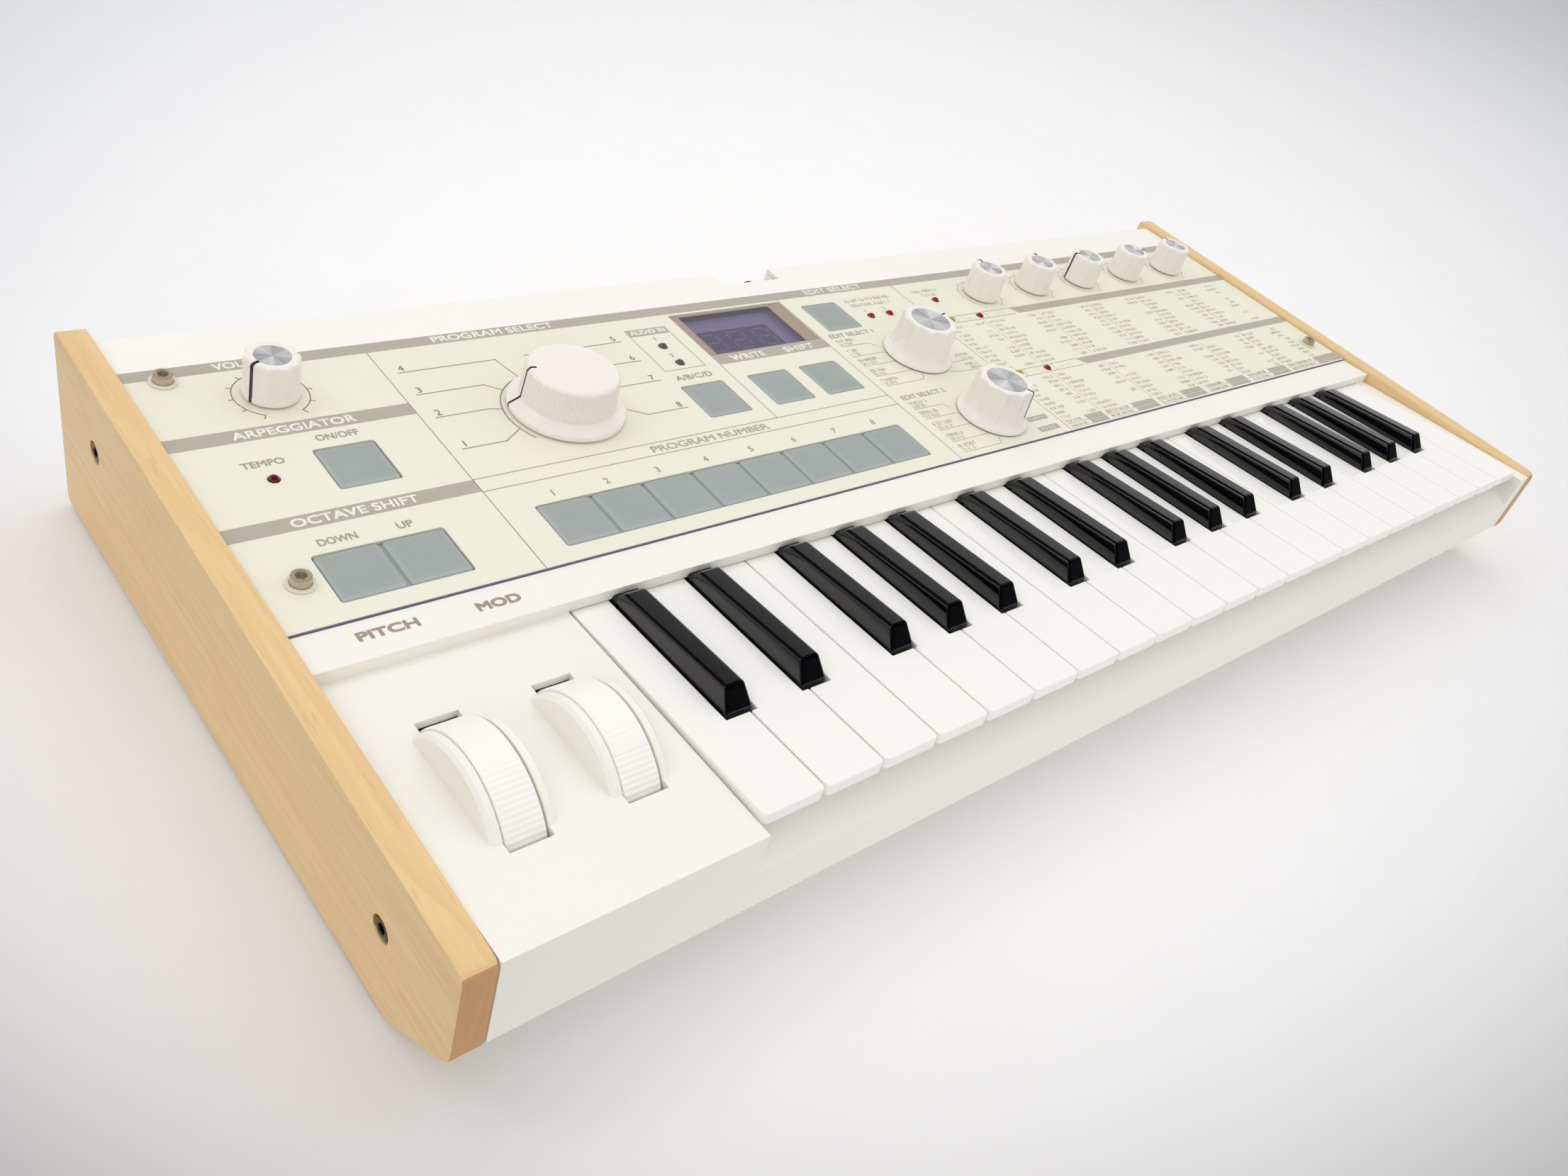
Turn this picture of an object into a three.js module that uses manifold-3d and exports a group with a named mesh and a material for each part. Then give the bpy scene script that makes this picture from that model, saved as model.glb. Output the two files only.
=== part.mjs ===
// A compact keyboard synthesizer: wooden cheeks, a two-part plastic case, a sloping control panel with knobs
// and push buttons, two performance wheels and a three-octave mini keyboard. Millimetres, +X right, +Y back,
// +Z up. The origin is on the ground at the centre of the footprint, and the keys face -Y.

import * as THREE from "three";
import { mergeVertices } from "three/addons/utils/BufferGeometryUtils.js";
import Module from "manifold-3d";

const wasm = await Module();
wasm.setup();

// ---- driving dimensions -----------------------------------------------------------------------------

const WIDTH = 524;
const DEPTH = 228;
const FRONT = -DEPTH / 2;
const FOOT_HEIGHT = 1.5;
const GAP = 0.3;
const WALL = 2.2;
const BITE = 0.2; // how far two solids that are joined run into each other

const CHEEK = {
  thickness: 8,
  backHeight: 56.8,
  frontHeight: 45.5,
  noseHeight: 17,
  noseRun: 24.4,
  cornerRadius: 3,
};
const CHEEK_SCREWS = [
  { y: FRONT + 30.6, z: FOOT_HEIGHT + 24.9 },
  { y: FRONT + 199.5, z: FOOT_HEIGHT + 34.6 },
];
const COUNTERBORE = { radius: 3.4, recess: 2.4 };
const CASE_HALF = WIDTH / 2 - CHEEK.thickness - GAP;
const CASE_BACK = FRONT + 222.7;
const CASE_BOTTOM = FOOT_HEIGHT + 0.3;
const FEET = { x: CASE_HALF - 32, ys: [FRONT + 42, CASE_BACK - 20], radius: 9 };

// The panel's local frame: x right, y up the slope from its front edge, z out of its top face.
const PANEL = {
  frontY: FRONT + 97.1,
  frontZ: FOOT_HEIGHT + 48.7,
  slope: Math.atan(0.048),
  length: 125.4,
  sheet: 1.5,
};
const PANEL_RIM = { side: CHEEK.thickness + 6, front: 4.6, back: 9 };
const LEFT = -WIDTH / 2;

const BLOCK = { frontZ: FOOT_HEIGHT + 45.2, backZ: FOOT_HEIGHT + 44.4, stepY: FRONT + 83.7 };
const STRIP_Z = FOOT_HEIGHT + 48.2;
const LIP = { top: FOOT_HEIGHT + 32.5, depth: 9, rise: 6, bottom: FOOT_HEIGHT + 18.6 };

const KEYS = {
  count: 22,
  left: LEFT + 76.9,
  pitch: 19.6,
  gap: 0.55,
  thickness: 3.6,
  frontY: FRONT + 3.7,
  frontZ: FOOT_HEIGHT + 47.6,
  fall: 0.0376,
  length: 96.3,
  pivotBack: 94.3,
};
const BLACK = {
  baseWidth: 8.7,
  start: 30.4,
  end: 79,
  front: { width: 6.2, lean: 4, rise: 5.9 },
  back: { width: 7.2, lean: 1.8, rise: 2.7 },
  clearance: 0.6,
};
// Sideways offset of each black key from the crack between its white neighbours, by white key in the octave.
const BLACK_OFFSETS = { 0: -2.7, 1: 2.7, 3: -3.4, 4: 0, 5: 3.4 };

const WHEEL = {
  y: FRONT + 43.3,
  z: FOOT_HEIGHT + 32,
  radius: 22.4,
  width: 10.1,
  bore: 3.3,
  axle: 3,
  hubRadius: 6,
  reliefRadius: 13,
  relief: 2.4,
  segments: 36,
};
const WHEEL_SLOTS = { pitch: LEFT + 28.6, mod: LEFT + 58.7, width: 11, length: 41.8 };
const GUARD = {
  y: FRONT + 42.8,
  z: FOOT_HEIGHT + 32.9,
  radius: 21.5,
  thickness: 2.6,
  bevel: 0.9,
  segments: 40,
};

// A knob stands on a rim; above it the skirt slopes in to the body, which narrows towards its chamfered top.
const SMALL_KNOB = {
  rim: 7.75,
  rimHeight: 0.8,
  base: 7.75,
  baseHeight: 1,
  top: 7.6,
  height: 12.3,
  segments: 16,
};
const SELECT_KNOB = {
  rim: 13.4,
  rimHeight: 0.8,
  base: 11.8,
  baseHeight: 2.6,
  top: 10.9,
  height: 14.8,
  segments: 24,
};
const DIAL_KNOB = {
  rim: 18.2,
  rimHeight: 1.8,
  base: 14.9,
  baseHeight: 4.1,
  top: 14.2,
  height: 14.3,
  segments: 24,
};
const KNOB_CHAMFER = 0.8;
const KNOB_LIFT = 0.5;
const SHAFT = { radius: 3, bore: 3.3, height: 8, endGap: 1.5, panelHole: 4 };
const EDIT_KNOBS = { x: 344.9, y: 89.5, pitch: 34.7, count: 5 };

const KNOBS = {
  volume_knob: { x: 42.8, y: 90.5, form: SMALL_KNOB },
  program_dial: { x: 121.7, y: 62.2, form: DIAL_KNOB },
  edit_select_knob_1: { x: 275.7, y: 58.2, form: SELECT_KNOB },
  edit_select_knob_2: { x: 275.7, y: 17.3, form: SELECT_KNOB },
};
for (let i = 0; i < EDIT_KNOBS.count; i++) {
  const x = EDIT_KNOBS.x + i * EDIT_KNOBS.pitch;
  KNOBS["edit_knob_" + (i + 1)] = { x, y: EDIT_KNOBS.y, form: SMALL_KNOB };
}

const CAP = {
  size: 17,
  depth: 17.2,
  top: 0.9,
  bevel: 2,
  bevelDrop: 1.2,
  base: -4.2,
  baseThickness: 1,
  opening: 0.4,
  corner: 1,
};
const PROGRAM_ROW = { x: 96.3, y: 14.8, pitch: 18.15, count: 8 };
const OCTAVE_ROW = { x: 33.2, y: 14.9, pitch: 18, count: 2 };
const MAT = { margin: 1.2, web: 4 };
const ARPEGGIATOR_CAP = { x: 51.3, y: 54.8 };
const FUNCTION_CAPS = [
  { x: 175.1, y: 54.4 },
  { x: 203.6, y: 54.4 },
  { x: 227.4, y: 54.4 },
  { x: 257.7, y: 89.3 },
];

const DISPLAY = { x0: 189.2, x1: 241.6, y0: 76.6, y1: 103.1, sheet: 1.2, recess: 0.5, corner: 0.6 };
const LEDS = [
  [28.6, 54.8],
  [175.4, 86.2],
  [175.4, 76],
  [276.3, 86.1],
  [286.6, 86.1],
  [317.6, 90.3],
  [312.8, 75.7],
  [330.3, 75.6],
  [313.1, 36.7],
  [330.2, 36.2],
];
const LED = { radius: 1.4, hole: 1.75, segments: 10 };
const PANEL_SCREWS = [
  [18.4, 15.4],
  [18.4, 102.6],
  [WIDTH - 18.4, 15.4],
  [WIDTH - 18.4, 102.6],
];
const PANEL_SCREW_HOLE = 2.1;
const MIC_NOTCH = { x0: 226, x1: 254, y0: 118, depth: 10, floor: 1.5 };

const BOARD = { top: -9.4, sheet: 1.6, y0: 6.5, y1: 116, half: 246 };
const REAR_JACKS = { z: FOOT_HEIGHT + 33, radius: 5, hole: 5.4, xs: [-160, -136, -112, -88, -64], body: 13 };
const REAR_SOCKETS = { radius: 7.6, hole: 8, xs: [30, 56, 82], body: 19 };
const REAR_POWER = { xs: [188, 214], width: 12, height: 11, body: 16 };

// ---- colours ----------------------------------------------------------------------------------------

const finish = (color, roughness, metalness = 0) =>
  new THREE.MeshStandardMaterial({ color, roughness, metalness });
const FINISH = {
  case: finish(0xf0efe8, 0.5),
  panel: finish(0xe9e7d6, 0.45, 0.1),
  wood: finish(0xdcae72, 0.55),
  cap: finish(0xa8b0aa, 0.6),
  knob: finish(0xf2f1ec, 0.35),
  whiteKey: finish(0xf7f6f3, 0.15),
  blackKey: finish(0x0d0d10, 0.12),
  window: finish(0x5d5873, 0.1),
  board: finish(0x2f5a3c, 0.6),
  frame: finish(0x4a4b4d, 0.5, 0.3),
};

// ---- solids -----------------------------------------------------------------------------------------

// A closed geometry, moved by a matrix, as a manifold solid.
function solid(geometry, matrix) {
  const bare = geometry.clone();
  bare.deleteAttribute("normal");
  bare.deleteAttribute("uv");
  if (matrix) bare.applyMatrix4(matrix);
  const merged = mergeVertices(bare, 1e-4);
  return new wasm.Manifold(
    new wasm.Mesh({
      numProp: 3,
      vertProperties: merged.attributes.position.array,
      triVerts: new Uint32Array(merged.index.array),
    }),
  );
}

function geometryOf(manifold) {
  const mesh = manifold.getMesh();
  const geometry = new THREE.BufferGeometry();
  geometry.setAttribute("position", new THREE.BufferAttribute(new Float32Array(mesh.vertProperties), 3));
  geometry.setIndex(new THREE.BufferAttribute(new Uint32Array(mesh.triVerts), 1));
  const faceted = geometry.toNonIndexed();
  faceted.computeVertexNormals();
  return faceted;
}

const unite = (parts) => parts.reduce((sum, part) => sum.add(part));

const at = (x, y, z) => new THREE.Matrix4().makeTranslation(x, y, z);

// A box between two corners.
function box(x0, y0, z0, x1, y1, z1, frame = new THREE.Matrix4()) {
  const shape = new THREE.BoxGeometry(x1 - x0, y1 - y0, z1 - z0);
  return solid(shape, frame.clone().multiply(at((x0 + x1) / 2, (y0 + y1) / 2, (z0 + z1) / 2)));
}

// A prism along X whose section is given as [y, z] points.
function prismX(section, x0, x1) {
  const shape = new THREE.Shape(section.map(([y, z]) => new THREE.Vector2(y, z)));
  const prism = new THREE.ExtrudeGeometry(shape, { depth: x1 - x0, bevelEnabled: false });
  const axes = new THREE.Matrix4().makeBasis(
    new THREE.Vector3(0, 1, 0),
    new THREE.Vector3(0, 0, 1),
    new THREE.Vector3(1, 0, 0),
  );
  return solid(prism, at(x0, 0, 0).multiply(axes));
}

// A cylinder whose axis runs along +X, +Y or +Z from the point given.
function rod(axis, x, y, z, radius, length, segments = 16, frame = new THREE.Matrix4()) {
  const cylinder = new THREE.CylinderGeometry(radius, radius, length, segments);
  cylinder.translate(0, length / 2, 0);
  if (axis === "x") cylinder.rotateZ(-Math.PI / 2);
  if (axis === "z") cylinder.rotateX(Math.PI / 2);
  return solid(cylinder, frame.clone().multiply(at(x, y, z)));
}

// The corners of a level rectangle given as [x0, y0, x1, y1, z].
function levelCorners([x0, y0, x1, y1, z]) {
  return [
    [x0, y0, z],
    [x1, y0, z],
    [x1, y1, z],
    [x0, y1, z],
  ];
}

// A block between four lower corners and the four corners above them.
function eightCornerBlock(low, high) {
  const corners = [...low, ...high].flat();
  const quads = [
    [3, 2, 1, 0],
    [4, 5, 6, 7],
    [0, 1, 5, 4],
    [1, 2, 6, 5],
    [2, 3, 7, 6],
    [3, 0, 4, 7],
  ];
  const geometry = new THREE.BufferGeometry();
  geometry.setAttribute("position", new THREE.BufferAttribute(new Float32Array(corners), 3));
  geometry.setIndex(quads.flatMap(([a, b, c, d]) => [a, b, c, a, c, d]));
  return solid(geometry);
}

// ---- the assembly and its frames --------------------------------------------------------------------

const synthesizer = new THREE.Group();

const onPanel = new THREE.Group();
onPanel.position.set(LEFT, PANEL.frontY, PANEL.frontZ);
onPanel.rotation.x = PANEL.slope;
onPanel.updateMatrix();
synthesizer.add(onPanel);

const onKeys = new THREE.Group();
onKeys.position.set(KEYS.left, KEYS.frontY, KEYS.frontZ);
onKeys.rotation.x = -Math.atan(KEYS.fall);
synthesizer.add(onKeys);

function piece(name, shape, material, parent = synthesizer) {
  const mesh = new THREE.Mesh(shape.isBufferGeometry ? shape : geometryOf(shape), material);
  mesh.name = name;
  parent.add(mesh);
  return mesh;
}

// ---- wooden cheeks ----------------------------------------------------------------------------------

function cheekOutline() {
  const { backHeight, frontHeight, noseHeight, noseRun, cornerRadius: r } = CHEEK;
  const back = -FRONT;
  const z = (height) => FOOT_HEIGHT + height;
  const corners = [
    [FRONT, z(noseHeight)],
    [FRONT + noseRun, z(0)],
    [back, z(0)],
    [back, z(backHeight)],
    [FRONT, z(frontHeight)],
  ].map(([y, height]) => new THREE.Vector2(y, height));
  const path = new THREE.Path();
  corners.forEach((corner, i) => {
    const before = corners[(i + corners.length - 1) % corners.length];
    const after = corners[(i + 1) % corners.length];
    const from = corner.clone().add(before.clone().sub(corner).setLength(r));
    const to = corner.clone().add(after.clone().sub(corner).setLength(r));
    if (i === 0) path.moveTo(from.x, from.y);
    else path.lineTo(from.x, from.y);
    path.quadraticCurveTo(corner.x, corner.y, to.x, to.y);
  });
  return path.getPoints(4).map((p) => [p.x, p.y]);
}

function cheek(side) {
  const inner = side * (WIDTH / 2 - CHEEK.thickness);
  const outer = (side * WIDTH) / 2;
  let board = prismX(cheekOutline(), Math.min(inner, outer), Math.max(inner, outer));
  const { radius, recess } = COUNTERBORE;
  const start = side < 0 ? -WIDTH / 2 - 1 : WIDTH / 2 - recess;
  for (const { y, z } of CHEEK_SCREWS) board = board.subtract(rod("x", start, y, z, radius, recess + 1, 20));
  return board;
}

piece("left_cheek", cheek(-1), FINISH.wood);
piece("right_cheek", cheek(1), FINISH.wood);

// ---- case -------------------------------------------------------------------------------------------

// Height of the panel's top face, less a drop, at a given y.
const panelZ = (y, drop = 0) => PANEL.frontZ + (y - PANEL.frontY) * Math.tan(PANEL.slope) - drop;

const KEY_SPAN = { x0: KEYS.left - 0.5, x1: KEYS.left + KEYS.count * KEYS.pitch + 0.1 };

function caseSections() {
  const seat = PANEL.sheet + GAP;
  const shelfY = PANEL.frontY - 0.4;
  const noseY = FRONT + CHEEK.noseRun;
  const outer = [
    [FRONT, LIP.bottom],
    [noseY, CASE_BOTTOM],
    [CASE_BACK, CASE_BOTTOM],
    [CASE_BACK, panelZ(CASE_BACK, seat)],
    [shelfY, panelZ(shelfY, seat)],
    [shelfY, STRIP_Z],
    [BLOCK.stepY, STRIP_Z],
    [BLOCK.stepY, BLOCK.backZ],
    [FRONT, BLOCK.frontZ],
  ];
  const below = -10;
  const inner = [
    [FRONT + WALL, below],
    [CASE_BACK - WALL, below],
    [CASE_BACK - WALL, panelZ(CASE_BACK - WALL, seat + WALL)],
    [shelfY - WALL, panelZ(shelfY, seat + WALL)],
    [shelfY - WALL, STRIP_Z - WALL],
    [BLOCK.stepY + WALL, STRIP_Z - WALL],
    [BLOCK.stepY + WALL, BLOCK.backZ - WALL],
    [FRONT + WALL, BLOCK.frontZ - WALL],
  ];
  return { outer, inner };
}

// The key opening: everything above the lip in front of the step, and the slit that the keys pass through.
function keyOpening() {
  const slitTop = KEYS.frontZ - KEYS.fall * (BLOCK.stepY - KEYS.frontY) + 0.4;
  const front = box(KEY_SPAN.x0, FRONT - 1, LIP.top, KEY_SPAN.x1, BLOCK.stepY, 80);
  const slit = box(KEY_SPAN.x0, BLOCK.stepY - 1, LIP.top - 10, KEY_SPAN.x1, BLOCK.stepY + WALL + 1, slitTop);
  return front.add(slit);
}

// The lip that slopes up under the front of the keys, and the upright walls beside the first and last key.
function keyWell() {
  const lip = prismX(
    [
      [FRONT, LIP.top - WALL],
      [FRONT + LIP.depth, LIP.top + LIP.rise - WALL],
      [FRONT + LIP.depth, LIP.top + LIP.rise],
      [FRONT, LIP.top],
    ],
    KEY_SPAN.x0 - 1,
    KEY_SPAN.x1 + 1,
  );
  const side = (x0, x1) =>
    prismX(
      [
        [FRONT + 0.5, LIP.top - WALL],
        [BLOCK.stepY + WALL, LIP.top - WALL],
        [BLOCK.stepY + WALL, BLOCK.backZ - 0.5],
        [FRONT + 0.5, BLOCK.frontZ - 0.5],
      ],
      x0,
      x1,
    );
  return [lip, side(KEY_SPAN.x0 - WALL, KEY_SPAN.x0), side(KEY_SPAN.x1, KEY_SPAN.x1 + WALL)];
}

// Half-round guards on both sides of a performance wheel, standing out of the left block. Their outer edges
// are bevelled; each side is turned from the same profile, as (radius, distance from the slot).
function wheelGuards(x) {
  const { y, z, radius, thickness, bevel, segments } = GUARD;
  const profile = [
    [0, 0],
    [radius, 0],
    [radius, thickness - bevel],
    [radius - bevel, thickness],
    [0, thickness],
  ].map(([r, out]) => new THREE.Vector2(r, out));
  const cover = box(x - 20, FRONT, 0, x + 20, BLOCK.stepY, BLOCK.backZ - WALL - 2);
  return [-1, 1].map((side) => {
    const disc = new THREE.LatheGeometry(profile, segments);
    disc.rotateZ((-side * Math.PI) / 2);
    return solid(disc, at(x + (side * WHEEL_SLOTS.width) / 2, y, z)).subtract(cover);
  });
}

function wheelSlot(x) {
  const { width, length } = WHEEL_SLOTS;
  return box(x - width / 2, WHEEL.y - length / 2, 30, x + width / 2, WHEEL.y + length / 2, 80);
}

function rearHoles() {
  const y = CASE_BACK - WALL - 1;
  const long = WALL + 2;
  return unite([
    ...REAR_JACKS.xs.map((x) => rod("y", x, y, REAR_JACKS.z, REAR_JACKS.hole, long, 20)),
    ...REAR_SOCKETS.xs.map((x) => rod("y", x, y, REAR_JACKS.z, REAR_SOCKETS.hole, long, 24)),
    ...REAR_POWER.xs.map((x) => {
      const w = REAR_POWER.width / 2 + 0.4;
      const h = REAR_POWER.height / 2 + 0.4;
      return box(x - w, y, REAR_JACKS.z - h, x + w, y + long, REAR_JACKS.z + h);
    }),
  ]);
}

// The shelf under the panel is open inside a narrow rim, so that the panel's controls reach the board.
function panelWell() {
  const { side, front, back } = PANEL_RIM;
  return box(side, front, -8, WIDTH - side, PANEL.length - back, 5, onPanel.matrix);
}

function micRecess() {
  const { x0, x1, y0, depth, floor } = MIC_NOTCH;
  const end = PANEL.length + 6;
  const frame = onPanel.matrix;
  const tub = box(x0 - floor, y0 - floor, -depth - floor, x1 + floor, PANEL.length - 1.2, -2.4, frame);
  const hollow = box(x0, y0, -depth, x1, end, 6, frame);
  return { tub, hollow };
}

function upperCase() {
  const { outer, inner } = caseSections();
  const hollow = prismX(inner, -CASE_HALF + WALL, CASE_HALF - WALL);
  const shell = prismX(outer, -CASE_HALF, CASE_HALF).subtract(hollow);
  const recess = micRecess();
  const opened = shell.subtract(keyOpening()).subtract(panelWell()).subtract(rearHoles());
  const walled = unite([opened, ...keyWell()]);
  const guarded = unite([walled, ...wheelGuards(WHEEL_SLOTS.pitch), ...wheelGuards(WHEEL_SLOTS.mod)]);
  const slotted = guarded.subtract(wheelSlot(WHEEL_SLOTS.pitch)).subtract(wheelSlot(WHEEL_SLOTS.mod));
  return slotted.add(recess.tub).subtract(recess.hollow);
}

function lowerCase() {
  const sheet = 2;
  const rearLip = 10;
  const frontLip = 6;
  const noseY = FRONT + CHEEK.noseRun;
  const backY = CASE_BACK - WALL - GAP;
  const frontY = FRONT + WALL + GAP;
  const half = CASE_HALF - WALL - GAP;
  const noseSlope = (LIP.bottom - CASE_BOTTOM) / CHEEK.noseRun;
  const noseZ = (y) => CASE_BOTTOM + (noseY - y) * noseSlope;
  const tray = prismX(
    [
      [frontY, noseZ(frontY)],
      [noseY, CASE_BOTTOM],
      [backY, CASE_BOTTOM],
      [backY, CASE_BOTTOM + rearLip],
      [backY - sheet, CASE_BOTTOM + rearLip],
      [backY - sheet, CASE_BOTTOM + sheet],
      [noseY, CASE_BOTTOM + sheet],
      [frontY + sheet, noseZ(frontY + sheet) + sheet],
      [frontY + sheet, LIP.bottom + frontLip],
      [frontY, LIP.bottom + frontLip],
    ],
    -half,
    half,
  );
  const foot = (side, y) => rod("z", side * FEET.x, y, 0, FEET.radius, 3, 24);
  const feet = [-1, 1].flatMap((side) => FEET.ys.map((y) => foot(side, y)));
  return unite([tray, ...feet, ...keyFramePosts(), ...wheelAxle()]);
}

// The posts that carry the key frame.
function keyFramePosts() {
  const { xs, ys, radius } = FRAME_POSTS;
  const foot = CASE_BOTTOM + 1;
  const length = KEY_FRAME.floor - GAP - foot;
  return xs.flatMap((x) => ys.map((y) => rod("z", x, y, foot, radius, length, 12)));
}

// Three uprights hold the axle that both performance wheels turn on.
function wheelAxle() {
  const { pitch, mod } = WHEEL_SLOTS;
  const clear = WHEEL.width / 2 + 1;
  const sheet = 3;
  const ends = [pitch - clear - sheet, (pitch + mod - sheet) / 2, mod + clear];
  const [half, top] = [6, WHEEL.z + 5];
  const uprights = ends.map((x) => box(x, WHEEL.y - half, CASE_BOTTOM + 1, x + sheet, WHEEL.y + half, top));
  const axle = rod("x", ends[0], WHEEL.y, WHEEL.z, WHEEL.axle, ends[2] + sheet - ends[0], 16);
  return [...uprights, axle];
}

// ---- control panel ----------------------------------------------------------------------------------

function roundedHole(x, y, width, height, radius) {
  const hole = new THREE.Path();
  const [x0, y0, x1, y1] = [x - width / 2, y - height / 2, x + width / 2, y + height / 2];
  hole.moveTo(x0 + radius, y0);
  hole.lineTo(x1 - radius, y0);
  hole.quadraticCurveTo(x1, y0, x1, y0 + radius);
  hole.lineTo(x1, y1 - radius);
  hole.quadraticCurveTo(x1, y1, x1 - radius, y1);
  hole.lineTo(x0 + radius, y1);
  hole.quadraticCurveTo(x0, y1, x0, y1 - radius);
  hole.lineTo(x0, y0 + radius);
  hole.quadraticCurveTo(x0, y0, x0 + radius, y0);
  return hole;
}

function roundHole(x, y, radius) {
  const hole = new THREE.Path();
  hole.absarc(x, y, radius, 0, 2 * Math.PI);
  return hole;
}

// The window that a row of caps shows through.
function capWindow({ x, y, pitch = 0, count = 1 }) {
  const run = pitch * (count - 1);
  const width = run + CAP.size + 2 * CAP.opening;
  return roundedHole(x + run / 2, y, width, CAP.depth + 2 * CAP.opening, CAP.corner);
}

// Drops the doubled points that arcs and curves leave in an outline.
const tidyPoints = (path, divisions) =>
  path.getPoints(divisions).filter((p, i, all) => p.distanceTo(all[(i + 1) % all.length]) > 1e-3);

function displayArea() {
  const { x0, x1, y0, y1 } = DISPLAY;
  return { x: (x0 + x1) / 2, y: (y0 + y1) / 2, width: x1 - x0, height: y1 - y0 };
}

function controlPanel() {
  const x0 = CHEEK.thickness + GAP;
  const x1 = WIDTH - CHEEK.thickness - GAP;
  const top = PANEL.length;
  const notch = MIC_NOTCH;
  const outline = new THREE.Shape([
    new THREE.Vector2(x0, 0),
    new THREE.Vector2(x1, 0),
    new THREE.Vector2(x1, top),
    new THREE.Vector2(notch.x1, top),
    new THREE.Vector2(notch.x1, notch.y0),
    new THREE.Vector2(notch.x0, notch.y0),
    new THREE.Vector2(notch.x0, top),
    new THREE.Vector2(x0, top),
  ]);
  const windows = [PROGRAM_ROW, OCTAVE_ROW, ARPEGGIATOR_CAP, ...FUNCTION_CAPS].map((row) => capWindow(row));
  const screen = displayArea();
  windows.push(roundedHole(screen.x, screen.y, screen.width, screen.height, DISPLAY.corner));
  const rounds = [
    ...Object.values(KNOBS).map(({ x, y }) => roundHole(x, y, SHAFT.panelHole)),
    ...LEDS.map(([x, y]) => roundHole(x, y, LED.hole)),
    ...PANEL_SCREWS.map(([x, y]) => roundHole(x, y, PANEL_SCREW_HOLE)),
  ];
  outline.holes.push(
    ...windows.map((hole) => new THREE.Path(tidyPoints(hole, 3))),
    ...rounds.map((hole) => new THREE.Path(tidyPoints(hole, 7))),
  );
  const plate = new THREE.ExtrudeGeometry(outline, { depth: PANEL.sheet, bevelEnabled: false });
  plate.translate(0, 0, -PANEL.sheet);
  return plate;
}

function displayWindow() {
  const { x, y, width, height } = displayArea();
  const plate = new THREE.BoxGeometry(width - 2 * GAP, height - 2 * GAP, DISPLAY.sheet);
  plate.translate(x, y, -DISPLAY.recess - DISPLAY.sheet / 2);
  return plate;
}

// ---- push buttons -----------------------------------------------------------------------------------

function cap({ x, y }) {
  const [w, d, b] = [CAP.size / 2, CAP.depth / 2, CAP.bevel];
  const shoulder = CAP.top - CAP.bevelDrop;
  const stem = box(x - w, y - d, CAP.base - BITE, x + w, y + d, shoulder);
  const crown = eightCornerBlock(
    levelCorners([x - w, y - d, x + w, y + d, shoulder - BITE]),
    levelCorners([x - w + b, y - d + b, x + w - b, y + d - b, CAP.top]),
  );
  return stem.add(crown);
}

const MAT_REACH = CAP.size / 2 + MAT.margin;
const MAT_HALF = CAP.depth / 2 + MAT.margin;

// The thin mat under a set of caps, with a margin that the panel holds down.
function mat(x0, y0, x1, y1) {
  return box(x0, y0, CAP.base - CAP.baseThickness, x1, y1, CAP.base);
}

function capRow({ x, y, pitch, count }) {
  const end = x + pitch * (count - 1);
  const caps = Array.from({ length: count }, (_, i) => cap({ x: x + i * pitch, y }));
  return unite([mat(x - MAT_REACH, y - MAT_HALF, end + MAT_REACH, y + MAT_HALF), ...caps]);
}

// One mat with a cranked web carries the three caps of the lower row and the one beside the display.
function functionButtons() {
  const [first, , third, upper] = FUNCTION_CAPS;
  const { web } = MAT;
  return unite([
    mat(first.x - MAT_REACH, first.y - MAT_HALF, third.x + MAT_REACH, third.y + MAT_HALF),
    mat(third.x, third.y - web, upper.x + web, third.y + web),
    mat(upper.x - web, third.y - web, upper.x + web, upper.y),
    mat(upper.x - MAT_REACH, upper.y - MAT_HALF, upper.x + MAT_REACH, upper.y + MAT_HALF),
    ...FUNCTION_CAPS.map((place) => cap(place)),
  ]);
}

// ---- knobs, dial and wheels -------------------------------------------------------------------------

// A turned knob with a blind bore for its shaft, standing on z = 0.
function knobSolid({ rim, rimHeight, base, baseHeight, top, height, segments }) {
  const boreEnd = SHAFT.height + SHAFT.endGap;
  const profile = [
    [0, boreEnd],
    [SHAFT.bore, boreEnd],
    [SHAFT.bore, 0],
    [rim, 0],
    [rim, rimHeight],
    [base, baseHeight],
    [top, height - KNOB_CHAMFER],
    [top - KNOB_CHAMFER, height],
    [0, height],
  ];
  const lathe = new THREE.LatheGeometry(profile.map(([r, z]) => new THREE.Vector2(r, z)), segments);
  lathe.rotateX(Math.PI / 2);
  return solid(lathe);
}

function wheelSolid() {
  const { radius, width, bore, segments } = WHEEL;
  const disc = rod("x", -width / 2, 0, 0, radius, width, segments);
  const { reliefRadius, relief, hubRadius } = WHEEL;
  const left = rod("x", -width / 2 - 1, 0, 0, reliefRadius, relief + 1, 24);
  const right = rod("x", width / 2 - relief, 0, 0, reliefRadius, relief + 1, 24);
  const hub = rod("x", -width / 2, 0, 0, hubRadius, width, 20);
  return disc.subtract(left).subtract(right).add(hub).subtract(rod("x", -width, 0, 0, bore, 2 * width, 16));
}

function addWheel(name, x) {
  const mesh = piece(name, wheelSolid(), FINISH.knob);
  mesh.position.set(x, WHEEL.y, WHEEL.z);
}

// ---- main board -------------------------------------------------------------------------------------

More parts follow.
